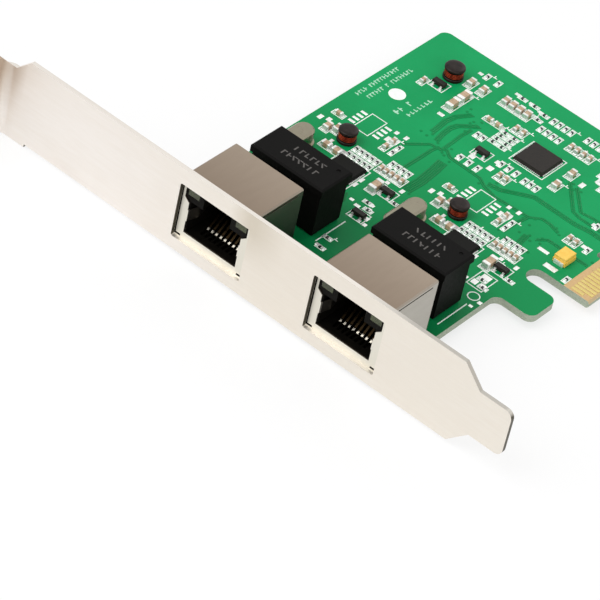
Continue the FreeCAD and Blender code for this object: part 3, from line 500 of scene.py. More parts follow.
def make_stamp_tree():
    tree = new_tree("stamp_at_points", [("Template", "Object"), ("Finish", "Material")])
    given = add(tree, "NodeGroupInput").outputs
    form = add(tree, "GeometryNodeObjectInfo", {"Object": given["Template"]})
    turn = add(tree, "GeometryNodeInputNamedAttribute", {"Name": "turn"}, data_type="FLOAT")
    size = add(tree, "GeometryNodeInputNamedAttribute", {"Name": "size"}, data_type="FLOAT_VECTOR")
    angle = add(tree, "ShaderNodeCombineXYZ", {2: turn.outputs["Attribute"]})
    values = {"Points": given["Geometry"], "Instance": form.outputs["Geometry"],
              "Rotation": angle.outputs[0], "Scale": size.outputs["Attribute"]}
    stamps = add(tree, "GeometryNodeInstanceOnPoints", values)
    end_tree(tree, stamps.outputs[0], given["Finish"])
    return tree


def make_sweep_tree():
    sockets = [("Width", "Float"), ("Height", "Float"), ("Corner", "Float"),
               ("Finish", "Material")]
    tree = new_tree("sweep_flat_bar", sockets)
    given = add(tree, "NodeGroupInput").outputs
    path = add(tree, "GeometryNodeMeshToCurve", {0: given["Geometry"]})
    bend = {"Curve": path.outputs[0], "Radius": given["Corner"], "Limit Radius": True, "Count": 3}
    soft = add(tree, "GeometryNodeFilletCurve", bend, mode="POLY")
    level = add(tree, "GeometryNodeSetCurveNormal", {0: soft.outputs[0]}, mode="Z_UP")
    size = {"Width": given["Width"], "Height": given["Height"]}
    section = add(tree, "GeometryNodeCurvePrimitiveQuadrilateral", size, mode="RECTANGLE")
    values = {"Curve": level.outputs[0], "Profile Curve": section.outputs[0], "Fill Caps": True}
    bar = add(tree, "GeometryNodeCurveToMesh", values)
    end_tree(tree, bar.outputs[0], given["Finish"])
    return tree


STAMP = make_stamp_tree()
SWEEP = make_sweep_tree()


def grow(name, mesh, tree, values):
    """Runs a tree on a mesh and keeps the result as an ordinary mesh object."""
    seed = bpy.data.objects.new(name, mesh)
    bpy.context.collection.objects.link(seed)
    modifier = seed.modifiers.new("grow", "NODES")
    modifier.node_group = tree
    for item in tree.interface.items_tree:
        if item.in_out == "INPUT" and item.name in values:
            modifier[item.identifier] = values[item.name]
    ready = seed.evaluated_get(bpy.context.evaluated_depsgraph_get())
    grown = bpy.data.meshes.new_from_object(ready)
    seed.modifiers.remove(modifier)
    seed.data = grown
    bpy.data.meshes.remove(mesh)
    return seed


def adopt(piece, slot, *replaced):
    """Tells the frame which body a piece rides on and hides what it replaces; the slot is not
    used.
    """
    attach(piece, "root")
    if replaced:
        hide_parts(*replaced)
    print("%-22s %6d faces" % (piece.name, len(piece.data.polygons)))


# %% [markdown]
# ## Forms built in mesh code
# A few helpers build closed forms point by point. `block` is a box with softened edges, `prism`
# joins two matching outlines, and `turned` spins a profile as a lathe does. `mesh_at` sets a form
# that was built in millimetres upright on the card.


# %% form helpers
def block(work, low=(-0.5, -0.5, 0.0), high=(0.5, 0.5, 1.0), soften=0.0):
    middle = [(a + b) / 2 for a, b in zip(low, high)]
    span = [b - a for a, b in zip(low, high)]
    matrix = Matrix.Translation(middle) @ Matrix.Diagonal((*span, 1))
    made = bmesh.ops.create_cube(work, size=1.0, matrix=matrix)
    if soften:
        edges = {edge for vert in made["verts"] for edge in vert.link_edges}
        bmesh.ops.bevel(work, geom=list(edges), offset=soften, segments=1, affect="EDGES")


def split_level(work, height):
    """Cuts a ring of edges round a form, so that it can lean in above or below it."""
    bmesh.ops.bisect_plane(work, geom=work.verts[:] + work.edges[:] + work.faces[:],
                           plane_co=(0, 0, height), plane_no=(0, 0, 1))


def prism(work, first_points, last_points):
    """Joins two matching outlines by a face along each side and a cap at each end."""
    first = [work.verts.new(point) for point in first_points]
    last = [work.verts.new(point) for point in last_points]
    work.faces.new(first)
    work.faces.new(last[::-1])
    for i in range(len(first)):
        j = (i + 1) % len(first)
        work.faces.new((first[i], first[j], last[j], last[i]))


def turned(work, profile, segments):
    """Spins a profile of (radius, height) pairs round the upright axis."""
    ring = [work.verts.new((radius, 0, height)) for radius, height in profile]
    edges = [work.edges.new(pair) for pair in zip(ring[:-1], ring[1:])]
    bmesh.ops.spin(work, geom=ring + edges, cent=(0, 0, 0), axis=(0, 0, 1),
                   angle=2 * math.pi, steps=segments, use_duplicate=False)
    bmesh.ops.remove_doubles(work, verts=work.verts, dist=1e-5)


def to_object(work, name):
    """An object of the scene with a form's mesh."""
    mesh = bpy.data.meshes.new(name)
    work.to_mesh(mesh)
    work.free()
    made = bpy.data.objects.new(name, mesh)
    bpy.context.collection.objects.link(made)
    return made


def mesh_at(work, name, centre=Vector((0, 0, 0))):
    """An object of a form in millimetres, its upright axis at a place on the card."""
    bmesh.ops.recalc_face_normals(work, faces=work.faces)
    work.transform(Matrix.Translation(at(centre.x, centre.y)) @ Matrix.Scale(MM, 4))
    return to_object(work, name)


def shade_round(piece, crease):
    """Smooth shading, but for edges that bend by more than so many degrees."""
    piece.data.shade_smooth()
    piece.data.set_sharp_from_angle(angle=math.radians(crease))


# %% [markdown]
# Templates are unit forms, one metre a side, so that a stamp's size attribute is its real size.
# Their base is at z = 0, and the larger ones have rounded edges, because an edge that catches no
# light is what gives a computer picture away.


# %% templates
TEMPLATES = []


def template(name, build, keep_flat=True):
    work = bmesh.new()
    build(work)
    bmesh.ops.recalc_face_normals(work, faces=work.faces)
    form = to_object(work, name)
    bpy.context.collection.objects.unlink(form)
    form.data.polygons.foreach_set("use_smooth", [not keep_flat] * len(form.data.polygons))
    TEMPLATES.append(form)
    return form


def disc(work):
    bmesh.ops.create_cone(work, cap_ends=True, segments=20, radius1=0.5, radius2=0.5,
                          depth=1.0, matrix=Matrix.Translation((0, 0, 0.5)))


def domed_pad(work):
    """A reflowed pad: straight foot, then a low crown."""
    foot, half_width = 0.45, 0.5
    block(work)
    top = max(work.faces, key=lambda face: face.calc_center_median().z)
    bmesh.ops.inset_region(work, faces=[top], thickness=0.14, depth=0.0)
    for vert in work.verts:
        outer = max(abs(vert.co.x), abs(vert.co.y)) > half_width - 0.05
        if vert.co.z > 0.5 and outer:
            vert.co.z = foot


def fillet_wedge(work):
    """Solder that climbs a termination: a concave ramp, high at x = 0 and thin at x = 1."""
    steps, hollow, thin = 4, 2.2, 0.04
    ramp = [(i / steps, max((1 - i / steps) ** hollow, thin)) for i in range(steps + 1)]
    outline = [(0.0, 0.0)] + ramp + [(1.0, 0.0)]
    prism(work, [(x, -0.5, z) for x, z in outline], [(x, 0.5, z) for x, z in outline])


def solder_cone(work):
    """Solder drawn up to a pin's end, point down: a concave skirt under a flat top."""
    turned(work, [(0.0, 0.0), (0.16, 0.0), (0.2, 0.3), (0.28, 0.62), (0.5, 1.0), (0.0, 1.0)], 14)


def moulded_body(work):
    """A small moulded package: sides that lean in above and below the parting line."""
    parting = 0.45
    block(work)
    split_level(work, parting)
    for vert in work.verts:
        if abs(vert.co.z - parting) > 0.1:
            vert.co.x *= 0.93
            vert.co.y *= 0.86


def gull_leg(work):
    """A leg that leaves the package, bends down and lies flat on its pad."""
    profile = [(0, 0.55), (0, 0.4), (0.3, 0.38), (0.5, 0.0), (1.0, 0.0), (1.0, 0.14),
               (0.58, 0.15), (0.4, 0.53)]
    prism(work, [(-0.5, y, z) for y, z in profile], [(0.5, y, z) for y, z in profile])


soft_block = template("soft_block", lambda work: block(work, soften=0.06))
cone_form = template("cone_form", solder_cone, keep_flat=False)
mould_form = template("mould_form", moulded_body)
leg_form = template("leg_form", gull_leg)
flat_block = template("flat_block", block)
round_disc = template("round_disc", disc)
pad_form = template("pad_form", domed_pad)
fillet_form = template("fillet_form", fillet_wedge)
print("templates:", ", ".join(form.name for form in TEMPLATES))

# %% [markdown]
# `stamp` turns a list of marks into points with attributes and runs the stamping tree. A mark is
# a place, a size and a turn, all in millimetres and degrees on the card. `sweep` does the same for
# paths. Thin marks may cross, and two faces at exactly one level render as black specks, so
# neighbours differ by a thousandth of a millimetre or so.


# %% stamping and sweeping
THIN = 0.06          # marks lower than this may cross, in millimetres
STAMP_STEPS, STAMP_STEP = 7, 0.05     # heights in turn, and the share by which each is higher
SWEEP_STEPS, SWEEP_STEP = 6, 0.0013   # levels in turn, and the millimetres between them


def stamp(name, form, marks, finish, slot, *replaced):
    """Marks are (place, size, turn): millimetres on the card, and degrees."""
    mesh = bpy.data.meshes.new(name + "_points")
    mesh.from_pydata([at(*place) for place, size, turn in marks], [], [])
    turns = mesh.attributes.new("turn", "FLOAT", "POINT")
    turns.data.foreach_set("value", [math.radians(turn) for place, size, turn in marks])
    sizes = mesh.attributes.new("size", "FLOAT_VECTOR", "POINT")
    flat = []
    for order, (place, (wide, deep, tall), turn) in enumerate(marks):
        if tall < THIN:
            tall *= 1 + STAMP_STEP * (order % STAMP_STEPS)
        flat += [wide * MM, deep * MM, tall * MM]
    sizes.data.foreach_set("vector", flat)
    adopt(grow(name, mesh, STAMP, {"Template": form, "Finish": finish}), slot, *replaced)


def sweep(name, paths, width, height, finish, slot, corner=0.0):
    """Sweeps a flat bar along paths of (x, y, z) millimetre points. Equal ends close a path."""
    points = []
    edges = []
    for order, path in enumerate(paths):
        first = len(points)
        closed = path[0] == path[-1]
        run = path[:-1] if closed else path
        lift = SWEEP_STEP * (order % SWEEP_STEPS)
        points += [at(x, y, z + lift) for x, y, z in run]
        edges += [(first + i, first + i + 1) for i in range(len(run) - 1)]
        if closed:
            edges.append((first + len(run) - 1, first))
    mesh = bpy.data.meshes.new(name + "_paths")
    mesh.from_pydata(points, edges, [])
    values = {"Width": width * MM, "Height": height * MM, "Corner": corner * MM, "Finish": finish}
    adopt(grow(name, mesh, SWEEP, values), slot)


# %% [markdown]
# ## Reading the small parts back from the frame
# The CAD holds parts that are alike, such as the chips, as separate plain solids in one node.
# Typing their places again would be one more list to keep in step. Each separate shell of a node
# is one part, so walking the mesh's connected pieces gives every part's box.


# %% islands of a node
def islands(node):
    """Lowest and highest corner, in millimetres on the card, of each separate solid of a node."""
    work = bmesh.new()
    work.from_mesh(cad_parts[node].data)
    bmesh.ops.remove_doubles(work, verts=work.verts, dist=1e-6)
    work.verts.ensure_lookup_table()
    seen = set()
    found = []
    for vert in work.verts:
        if vert.index in seen:
            continue
        heap = [vert]
        seen.add(vert.index)
        members = []
        while heap:
            here = heap.pop()
            members.append((here.co - ORIGIN) / MM)
            for edge in here.link_edges:
                other = edge.other_vert(here)
                if other.index not in seen:
                    seen.add(other.index)
                    heap.append(other)
        low = Vector([min(point[axis] for point in members) for axis in range(3)])
        high = Vector([max(point[axis] for point in members) for axis in range(3)])
        found.append((low, high))
    work.free()
    return found


capacitors = islands("ceramic_capacitors")
resistors = islands("chip_resistors")
print("capacitors:", len(capacitors), "resistors:", len(resistors))

# %% [markdown]
# ## Chip parts
# A ceramic capacitor is a fired block with a metal cap over each end. A resistor is a white
# ceramic chip with a dark glaze on top. Both sit on two pads, and solder climbs their end caps.
# Modelled one by one they would take hundreds of objects. Instead every chip's box is turned into
# marks for its body, caps, pads and solder, and each list of marks becomes one piece.

# %% chip marks
chip_marks = {key: [] for key in ("tan", "glaze", "caps", "pads", "solder")}
CAP_SHARE = 0.24     # of the chip's length, at each end
PAD_REACH = 0.35     # how far a pad stands out from under its chip
INK_THICK = 0.03
PAD_THICK = 0.05


def dress_chip(low, high, body):
    middle, span = (low + high) / 2, high - low
    if span.x > span.y:
        length, wide, turn, reach = span.x, span.y, 0, Vector((1, 0, 0))
    else:
        length, wide, turn, reach = span.y, span.x, 90, Vector((0, 1, 0))
    tall = span.z
    cap = length * CAP_SHARE
    # the body runs a little way under its caps and is slightly slimmer
    body_size = (length - 2 * cap + 0.1, wide * 0.95, tall * 0.96)
    chip_marks[body].append(((middle.x, middle.y, 0.0), body_size, turn))
    for side in (-1, 1):
        end = middle + reach * side * (length - cap) / 2
        chip_marks["caps"].append(((end.x, end.y, 0.0), (cap, wide, tall), turn))
        tip = middle + reach * side * (length / 2 + 0.02)
        pad_long = cap + PAD_REACH
        pad = middle + reach * side * (length / 2 + PAD_REACH - pad_long / 2)
        chip_marks["pads"].append(((pad.x, pad.y, 0.0), (pad_long, wide * 1.12, PAD_THICK), turn))
        outward = turn if side > 0 else turn + 180
        fillet = (0.3, wide * 0.9, tall * 0.75)
        chip_marks["solder"].append(((tip.x, tip.y, 0.02), fillet, outward))


for low, high in capacitors:
    dress_chip(low, high, "tan")
for low, high in resistors:
    dress_chip(low, high, "glaze")

stamp("capacitor_bodies", soft_block, chip_marks["tan"], ceramic_tan, "ceramic_tan",
      "ceramic_capacitors")
stamp("resistor_bodies", soft_block, chip_marks["glaze"], resistor_glaze, "resistor_black",
      "chip_resistors")
stamp("chip_end_caps", soft_block, chip_marks["caps"], tin_metal, "tinned_metal")
stamp("chip_pads", pad_form, chip_marks["pads"], solder_metal, "solder")
stamp("chip_solder", fillet_form, chip_marks["solder"], solder_metal, "solder")

# %% [markdown]
# A small transistor has one leg on one side and two on the other. The moulded body is black and
# the legs are tinned. A plain box would hide both facts, so the node is split into pieces of
# different finish: a body that leans in from its parting line, bent legs, and pads.

# %% transistors
BODY_SIZE, BODY_LIFT = (2.9, 1.3, 0.9), 0.1
LEG_SIZE, LEG_START = (0.42, 0.68, 0.9), 0.55
LEG_PAD_SIZE, LEG_PAD_AT = (0.8, 0.9, PAD_THICK), 1.15
LEGS = [(-0.95, -1), (0.95, -1), (0, 1)]     # place across, and side of the body
bodies, legs, leg_pads = [], [], []
transistors = islands("transistors")
for low, high in transistors:
    middle = (low + high) / 2
    bodies.append(((middle.x, middle.y, BODY_LIFT), BODY_SIZE, 0))
    for across, side in LEGS:
        x, turn = middle.x + across, 0 if side > 0 else 180
        legs.append(((x, middle.y + side * LEG_START, 0.0), LEG_SIZE, turn))
        leg_pads.append(((x, middle.y + side * LEG_PAD_AT, 0.0), LEG_PAD_SIZE, 0))
stamp("transistor_bodies", mould_form, bodies, chip_black, "chip_black", "transistors")
stamp("transistor_legs", leg_form, legs, tin_metal, "tinned_metal")
stamp("transistor_pads", pad_form, leg_pads, solder_metal, "solder")

# %% [markdown]
# On the far side the sockets' and modules' pins come through and are soldered. Molten solder
# climbs a pin and thins out, so each joint is a small concave skirt and not a ball or a cone.

# %% solder joints
JOINT_HEIGHT = 0.5
joints = []
for low, high in islands("solder_joints"):
    middle, across = (low + high) / 2, high.x - low.x
    joints.append(((middle.x, middle.y, low.z), (across, across, JOINT_HEIGHT), 0))
stamp("solder_skirts", cone_form, joints, solder_metal, "solder", "solder_joints")

# %% [markdown]
# Two pan-head screws clamp the board to the bracket's ears. Each is turned from one profile, and
# a cross-shaped cutter takes the driver's recess out of the head. A dark cross painted on would
# look the same from one side only; a real recess catches light and shade from every side.


# %% bracket screws
def cross_cutter(centre, top):
    """A tapered cross, wide at the head's crown and narrow at its bottom."""
    work = bmesh.new()
    wide, thin, deep, taper = 1.25, 0.3, 1.15, 0.6
    outline = [(thin, wide), (thin, thin), (wide, thin), (wide, -thin), (thin, -thin),
               (thin, -wide), (-thin, -wide), (-thin, -thin), (-wide, -thin), (-wide, thin),
               (-thin, thin), (-thin, wide)]
    prism(work, [(x, y, top + 0.3) for x, y in outline],
          [(x * taper, y * taper, top - deep) for x, y in outline])
    return mesh_at(work, "cross_cutter", centre)


def screw_mesh(low, high):
    """A screw from its shank's end to its crown, with the driver's recess cut out."""
    radius, middle = (high.y - low.y) / 2, (low + high) / 2
    shank = 1.45
    profile = [(0, low.z), (shank - 0.25, low.z), (shank, low.z + 0.25), (shank, 0.0),
               (radius, 0.0), (radius, 0.55), (radius - 0.06, 0.85), (radius - 0.3, 1.25),
               (radius - 0.8, 1.62), (radius - 1.5, high.z - 0.06), (0, high.z)]
    work = bmesh.new()
    turned(work, profile, 48)
    screw = mesh_at(work, "screw", middle)
    cutter = cross_cutter(middle, high.z)
    screw.modifiers.new("recess", "BOOLEAN").object = cutter
    ready = screw.evaluated_get(bpy.context.evaluated_depsgraph_get())
    mesh = bpy.data.meshes.new_from_object(ready)
    bpy.data.objects.remove(screw)
    bpy.data.objects.remove(cutter)
    return mesh


work = bmesh.new()
for low, high in islands("bracket_screws"):
    work.from_mesh(screw_mesh(low, high))
bmesh.ops.remove_doubles(work, verts=work.verts, dist=0.001 * MM)
screws = to_object(work, "cross_head_screws")
shade_round(screws, 32)
wear(screws, screw_metal)
adopt(screws, "screw_steel", "bracket_screws")

# %% [markdown]
# ## White ink
# Ink outlines mark where each part goes. They are flat closed loops, a little larger than the
# part, so their corners come from the same boxes as the chips. Ink is a film with a thickness, so
# it is a swept bar and not a painted line.


# %% outlines in white ink
def loop(left, low, right, high):
    corners = [(left, low), (right, low), (right, high), (left, high), (left, low)]
    return [(x, y, INK_THICK / 2) for x, y in corners]


def around(box, gap_x, gap_y):
    low, high = box
    return loop(low.x - gap_x, low.y - gap_y, high.x + gap_x, high.y + gap_y)


def part_loops(boxes, end_gap, side_gap):
    loops = []
    for low, high in boxes:
        long_x = (high.x - low.x) > (high.y - low.y)
        gaps = (end_gap, side_gap) if long_x else (side_gap, end_gap)
        loops.append(around((low, high), *gaps))
    return loops


FOOTPRINTS = [(46.2, 54.7), (73.6, 53.8)]     # middles of the two unfitted eight-pin places
ink_loops = part_loops(capacitors, 0.55, 0.3) + part_loops(resistors, 0.5, 0.22)
ink_loops += part_loops(transistors, 0.35, 0.3)
ink_loops.append(loop(86.4, 33.6, 89.9, 38.6))
for x, y in FOOTPRINTS:
    ink_loops.append(loop(x - 1.8, y - 3.0, x + 1.8, y + 3.0))
for node in ("bridge_chip", "controller_1", "controller_2"):
    ink_loops.append(around(card_box(node), 0.5, 0.5))
sweep("ink_outlines", ink_loops, 0.3, INK_THICK, white_ink, "board_green")

# %% [markdown]
# The rest of the ink is a disc, a code made of short bars in place of lettering, corner ticks and
# a thick line beside each transformer module. The bars' lengths are drawn from a seeded generator,
# so they look irregular and yet come out the same on every run.

# %% ink marks
chance = random.Random(11)
print_bars, corner_bars = [], []


def bar_column(x, y_from, y_to, tall, step=0.82):
    """A column of short bars that reads as a line of print along the card's depth."""
    y = y_from
    while y < y_to:
        long = step * chance.uniform(0.45, 0.8)
        if chance.random() > 0.12:
            print_bars.append(((x, y, 0.0), (tall, long * 0.42, INK_THICK), 0))
            side = chance.choice((-0.3, 0.0, 0.3)) * tall
            print_bars.append(((x + side, y + 0.2, 0.0), (tall * 0.25, long, INK_THICK), 0))
        y += step


bar_column(38.6, 60.0, 74.0, 1.0)
bar_column(40.6, 61.0, 74.5, 1.0)
bar_column(46.9, 60.5, 66.0, 1.3, 1.3)
bar_column(49.0, 63.0, 71.5, 0.9, 1.1)
for low, high in capacitors[::2] + resistors[::3]:
    if chance.random() > 0.35:
        corner_bars.append(((high.x + 0.9, high.y + 0.5, 0.0), (0.9, 0.2, INK_THICK), 0))
        corner_bars.append(((high.x + 0.7, high.y + 0.9, 0.0), (0.2, 0.5, INK_THICK), 0))
stamp("ink_print", flat_block, print_bars, thin_ink, "board_green")
stamp("ink_corner_marks", flat_block, corner_bars, white_ink, "board_green")
stamp("ink_disc", round_disc, [((43.6, 66.3, 0.0), (3.5, 3.5, INK_THICK), 0)], white_ink,
      "board_green")
RING_AT, RING_RADIUS, RING_SIDES = (89.7, 31.6), 1.15, 24
ink_level = INK_THICK / 2
ring = []
for i in range(RING_SIDES):
    angle = i * 2 * math.pi / RING_SIDES
    ring.append((RING_AT[0] + RING_RADIUS * math.cos(angle),
                 RING_AT[1] + RING_RADIUS * math.sin(angle), ink_level))
ink_paths = [ring + ring[:1]]
for x in (61.3, 90.2):
    ink_paths.append([(x, 20.2, ink_level), (x, 28.9, ink_level)])
sweep("ink_lines", ink_paths, 0.25, INK_THICK, white_ink, "board_green")

# %% [markdown]
# ## Bare pads
# Places where nothing is fitted show their tinned pads: two eight-pin footprints and a scatter of
# small pairs. The two channels are the same layout, so one list is laid twice, one channel pitch
# apart. Each pad has the low crown of reflowed tin, and a flat square would not catch the light.

# %% bare pads
PIN_PITCH, PIN_ROW = 1.27, 3.0
bare_pads = []


def pad(x, y, wide, deep):
    bare_pads.append(((x, y, 0.0), (wide, deep, PAD_THICK), 0))


for x, y in FOOTPRINTS:
    for side in (-1, 1):
        for i in range(4):
            pad(x + side * PIN_ROW, y + (i - 1.5) * PIN_PITCH, 1.5, 0.62)
for shift in (0.0, CHANNEL_PITCH):
    for x, y, wide, deep in [
        (51.0, 54.2, 0.8, 1.5), (52.8, 54.6, 0.8, 1.6), (51.0, 57.0, 0.8, 1.0),
        (53.2, 57.2, 0.8, 1.2), (38.6, 48.9, 0.9, 1.4), (40.2, 49.6, 0.9, 1.2),
        (44.6, 44.6, 0.7, 1.8), (47.6, 44.2, 2.6, 1.2), (55.6, 38.6, 0.8, 1.4),
        (55.6, 40.6, 0.8, 1.4), (59.2, 44.0, 0.9, 0.9), (62.6, 44.2, 0.8, 1.2),
        (58.0, 34.8, 0.9, 0.7), (62.0, 35.2, 0.9, 0.7), (64.2, 31.0, 0.8, 0.9),
    ]:
        pad(x + shift, y, wide, deep)
for x, y, wide, deep in [
    (49.9, 84.8, 1.0, 0.8), (54.2, 85.2, 1.0, 0.8), (52.8, 68.4, 1.4, 0.9),
    (58.6, 85.6, 1.2, 0.8), (62.0, 85.5, 1.0, 0.7), (64.8, 84.8, 1.2, 0.8),
    (63.0, 61.2, 0.9, 0.8), (65.2, 61.4, 0.9, 0.8), (67.4, 61.4, 0.9, 0.8),
    (83.4, 73.6, 1.0, 1.6), (84.8, 77.2, 1.0, 1.6), (92.2, 66.0, 1.4, 1.0),
    (94.0, 49.5, 2.8, 1.3), (90.2, 52.3, 2.4, 0.9), (94.6, 59.4, 1.2, 1.0),
    (91.0, 29.0, 0.8, 0.7), (62.2, 19.8, 1.1, 0.7), (87.3, 35.0, 1.2, 1.4),
    (89.0, 35.0, 1.2, 1.4), (88.1, 37.6, 1.9, 1.3), (64.6, 63.2, 1.2, 1.2),
    (64.6, 65.6, 1.2, 1.2), (69.0, 63.2, 1.2, 1.4), (69.0, 65.8, 1.2, 1.2),
    (59.8, 34.2, 1.2, 0.8), (61.6, 36.4, 1.0, 0.8), (63.4, 32.6, 0.9, 1.1),
]:
    pad(x, y, wide, deep)
stamp("bare_pads", pad_form, bare_pads, tin_metal, "tinned_metal")

# %% [markdown]
# ## Tracks
# Copper runs under the lacquer stand a few hundredths of a millimetre proud and look darker than
# the bare laminate round them. They could be lines in the board's material, but then they would
# have no height and blur close by, so each is a flat bar swept along a path with rounded bends. A
# bundle is one centre line repeated at a fixed spacing.


# %% copper tracks
TRACK_SPACING = 0.46
TRACK_LEVEL = 0.01
TRACK_BEND = 0.8     # radius of the rounded corners
MODULES_LEFT = (43.3, 72.2)


def bundle(centre, count):
    """Parallel tracks either side of a centre line, moved across its main direction."""
    (x0, y0), (x1, y1) = centre[0], centre[-1]
    length = math.hypot(x1 - x0, y1 - y0)
    across = (-(y1 - y0) / length, (x1 - x0) / length)
    tracks = []
    for i in range(count):
        offset = (i - (count - 1) / 2) * TRACK_SPACING
        tracks.append([(x + across[0] * offset, y + across[1] * offset, TRACK_LEVEL)
                       for x, y in centre])
    return tracks


FRONT_RUNS = [
    ([(56.9, 73.3), (55.1, 70.0), (54.7, 67.6), (55.0, 64.5), (55.1, 62.7)], 3),
    ([(60.0, 71.5), (57.1, 68.3), (56.6, 66.5), (56.8, 64.0), (57.3, 61.2)], 3),
    ([(59.6, 69.5), (59.4, 66.3), (59.6, 63.6), (59.7, 59.5)], 2),
    ([(53.7, 55.2), (57.3, 59.6), (59.2, 59.8), (60.3, 60.8)], 2),
    ([(58.4, 48.7), (58.5, 55.5), (58.5, 58.3), (58.9, 60.4)], 2),
    ([(62.8, 45.1), (63.0, 49.1), (62.6, 54.0), (62.1, 57.3)], 5),
    ([(60.3, 60.8), (62.0, 59.5), (69.5, 59.3), (71.5, 58.1), (74.7, 57.2), (82.6, 57.7),
      (84.5, 59.4), (86.3, 59.4), (88.9, 58.6)], 2),
    ([(71.6, 59.2), (74.2, 59.7), (79.7, 63.3), (89.6, 63.2), (92.6, 63.8), (98.3, 63.8)], 3),
    ([(81.3, 72.5), (87.0, 65.9), (89.0, 65.4), (98.3, 65.4)], 2),
    ([(83.2, 72.2), (88.1, 66.9), (90.4, 67.3), (98.3, 67.9)], 2),
    ([(82.5, 57.3), (82.0, 54.5), (81.9, 50.6)], 2),
    ([(87.1, 48.2), (85.9, 50.3), (85.5, 53.4)], 3),
    ([(87.4, 53.6), (88.9, 55.4), (98.3, 55.4)], 2),
]
front_tracks = [track for centre, count in FRONT_RUNS for track in bundle(centre, count)]
# from each module's row of pins the tracks close up on their way to the controller
for left in MODULES_LEFT:
    for i in range(10):
        x = left + 2.6 + i * PIN_PITCH
        front_tracks.append([(x, 30.6, TRACK_LEVEL), (x, 33.4, TRACK_LEVEL),
                             (x + (i - 4.5) * -0.25, 35.6, TRACK_LEVEL)])
sweep("copper_tracks", front_tracks, 0.38, 0.016, track_green, "board_green", TRACK_BEND)

# %% [markdown]
# Vias are plated holes that take a track to the other side. They cluster where tracks end, so
# they are scattered round the ends of the runs with a seeded generator, and one that would touch a
# neighbour is left out. The far side has its own runs, from the modules and from the gold fingers.

# %% vias and the underside's tracks
VIA_SIZE = (0.62, 0.62, 0.03)
VIA_SCATTER, VIA_SPACE = 1.6, 0.8
vias = []
for centre, count in FRONT_RUNS:
    for x, y in (centre[0], centre[-1]):
        for i in range(3):
            spot = (x + chance.uniform(-VIA_SCATTER, VIA_SCATTER),
                    y + chance.uniform(-VIA_SCATTER, VIA_SCATTER), 0.0)
            if all(math.dist(spot, other[0]) > VIA_SPACE for other in vias):
                vias.append((spot, VIA_SIZE, 0))
stamp("vias", round_disc, vias, track_green, "board_green")
far_paths = []
for left in MODULES_LEFT:
    for i in range(6):
        x, bend = left + 3.4 + i * 2.0, 33.0 + i * 1.1
        far_paths.append([(x, 29.6), (x, bend), (x + 5, bend + 5), (x + 5, 52 + i)])
for i in range(7):
    y = 52.0 + i * 2.0
    far_paths.append([(98.6, y), (90.0, y), (84 - i, y + 5), (80 - i, 66.0)])
far_tracks = [[(x, y, -BOARD_THICK) for x, y in path] for path in far_paths]
sweep("far_side_tracks", far_tracks, 0.36, 0.02, track_green, "board_green", TRACK_BEND)
far_vias = [((x, y, -BOARD_THICK - 0.02), size, turn) for (x, y, z), size, turn in vias]
stamp("far_side_vias", round_disc, far_vias, track_green, "board_green")

# %% [markdown]
# ## Gaps at the sockets' fronts
# The shield's front flaps don't quite meet at the window's lower corners and along one side. A
# gap this fine would cost the engineering model many faces, so each is a dark slip laid just in
# front of the shield, behind the bracket's face: the slip stands for the gap, and its darkness is
# painted shade.

# %% shield corner gaps
GAP_DEPTH = 0.855     # behind the bracket, in front of the shield
gaps = []
# dark slips: the gaps, and the painted shade in them
for port in PORTS:
    for across in (-7.35, 7.35):
        gaps.append(((port + across, GAP_DEPTH, 0.5), (1.2, 0.02, 0.42), 0))
    gaps.append(((port - 8.0, GAP_DEPTH, 0.5), (0.3, 0.02, 11.8), 0))
stamp("shield_gaps", flat_block, gaps, housing_black, "housing_plastic")

# %% [markdown]
# ## The choke windings
# Each choke is a ferrite spool with enamelled wire wound on its waist. Rings stacked on each other
# would have seams and no start or end, so a spiral with as many turns as fit side by side is swept
# with a round section, and that gives the wire itself.


# %% wound wire
def make_winding_tree():
    sockets = [("Turns", "Float"), ("Radius", "Float"), ("Rise", "Float"), ("Wire", "Float"),
               ("Finish", "Material")]
    tree = new_tree("wound_wire", sockets)
    given = add(tree, "NodeGroupInput").outputs
    path = {"Resolution": 24, "Rotations": given["Turns"], "Start Radius": given["Radius"],
            "End Radius": given["Radius"], "Height": given["Rise"]}
    spiral = add(tree, "GeometryNodeCurveSpiral", path)
    section = add(tree, "GeometryNodeCurvePrimitiveCircle",
                  {"Resolution": 8, "Radius": given["Wire"]}, mode="RADIUS")
    values = {"Curve": spiral.outputs[0], "Profile Curve": section.outputs[0], "Fill Caps": True}
    wire = add(tree, "GeometryNodeCurveToMesh", values)
    smooth = add(tree, "GeometryNodeSetShadeSmooth", {0: wire.outputs[0]})
    placed = add(tree, "GeometryNodeInstanceOnPoints",
                 {"Points": given["Geometry"], "Instance": smooth.outputs[0]})
    end_tree(tree, placed.outputs[0], given["Finish"])
    return tree


WINDING = make_winding_tree()
WIRE_RADIUS = 0.15


def wind(name, node):
    """Lays wire on a choke's waist, between the heights that its winding node gives."""
    low, high = card_box(node)
    rise = high.z - low.z - 2 * WIRE_RADIUS
    foot = at((low.x + high.x) / 2, (low.y + high.y) / 2, low.z + WIRE_RADIUS)
    start = bpy.data.meshes.new(node)
    start.from_pydata([foot], [], [])
    values = {"Turns": rise / (2 * WIRE_RADIUS), "Rise": rise * MM, "Wire": WIRE_RADIUS * MM,
              "Radius": ((high.x - low.x) / 2 - WIRE_RADIUS) * MM, "Finish": copper_metal}
    adopt(grow(name, start, WINDING, values), "copper_wire", node)


# %% [markdown]
# The spool is turned from one profile: a flange below, a narrow waist, and a flange above whose
# rim is rounded where fingers and machines pick it up.


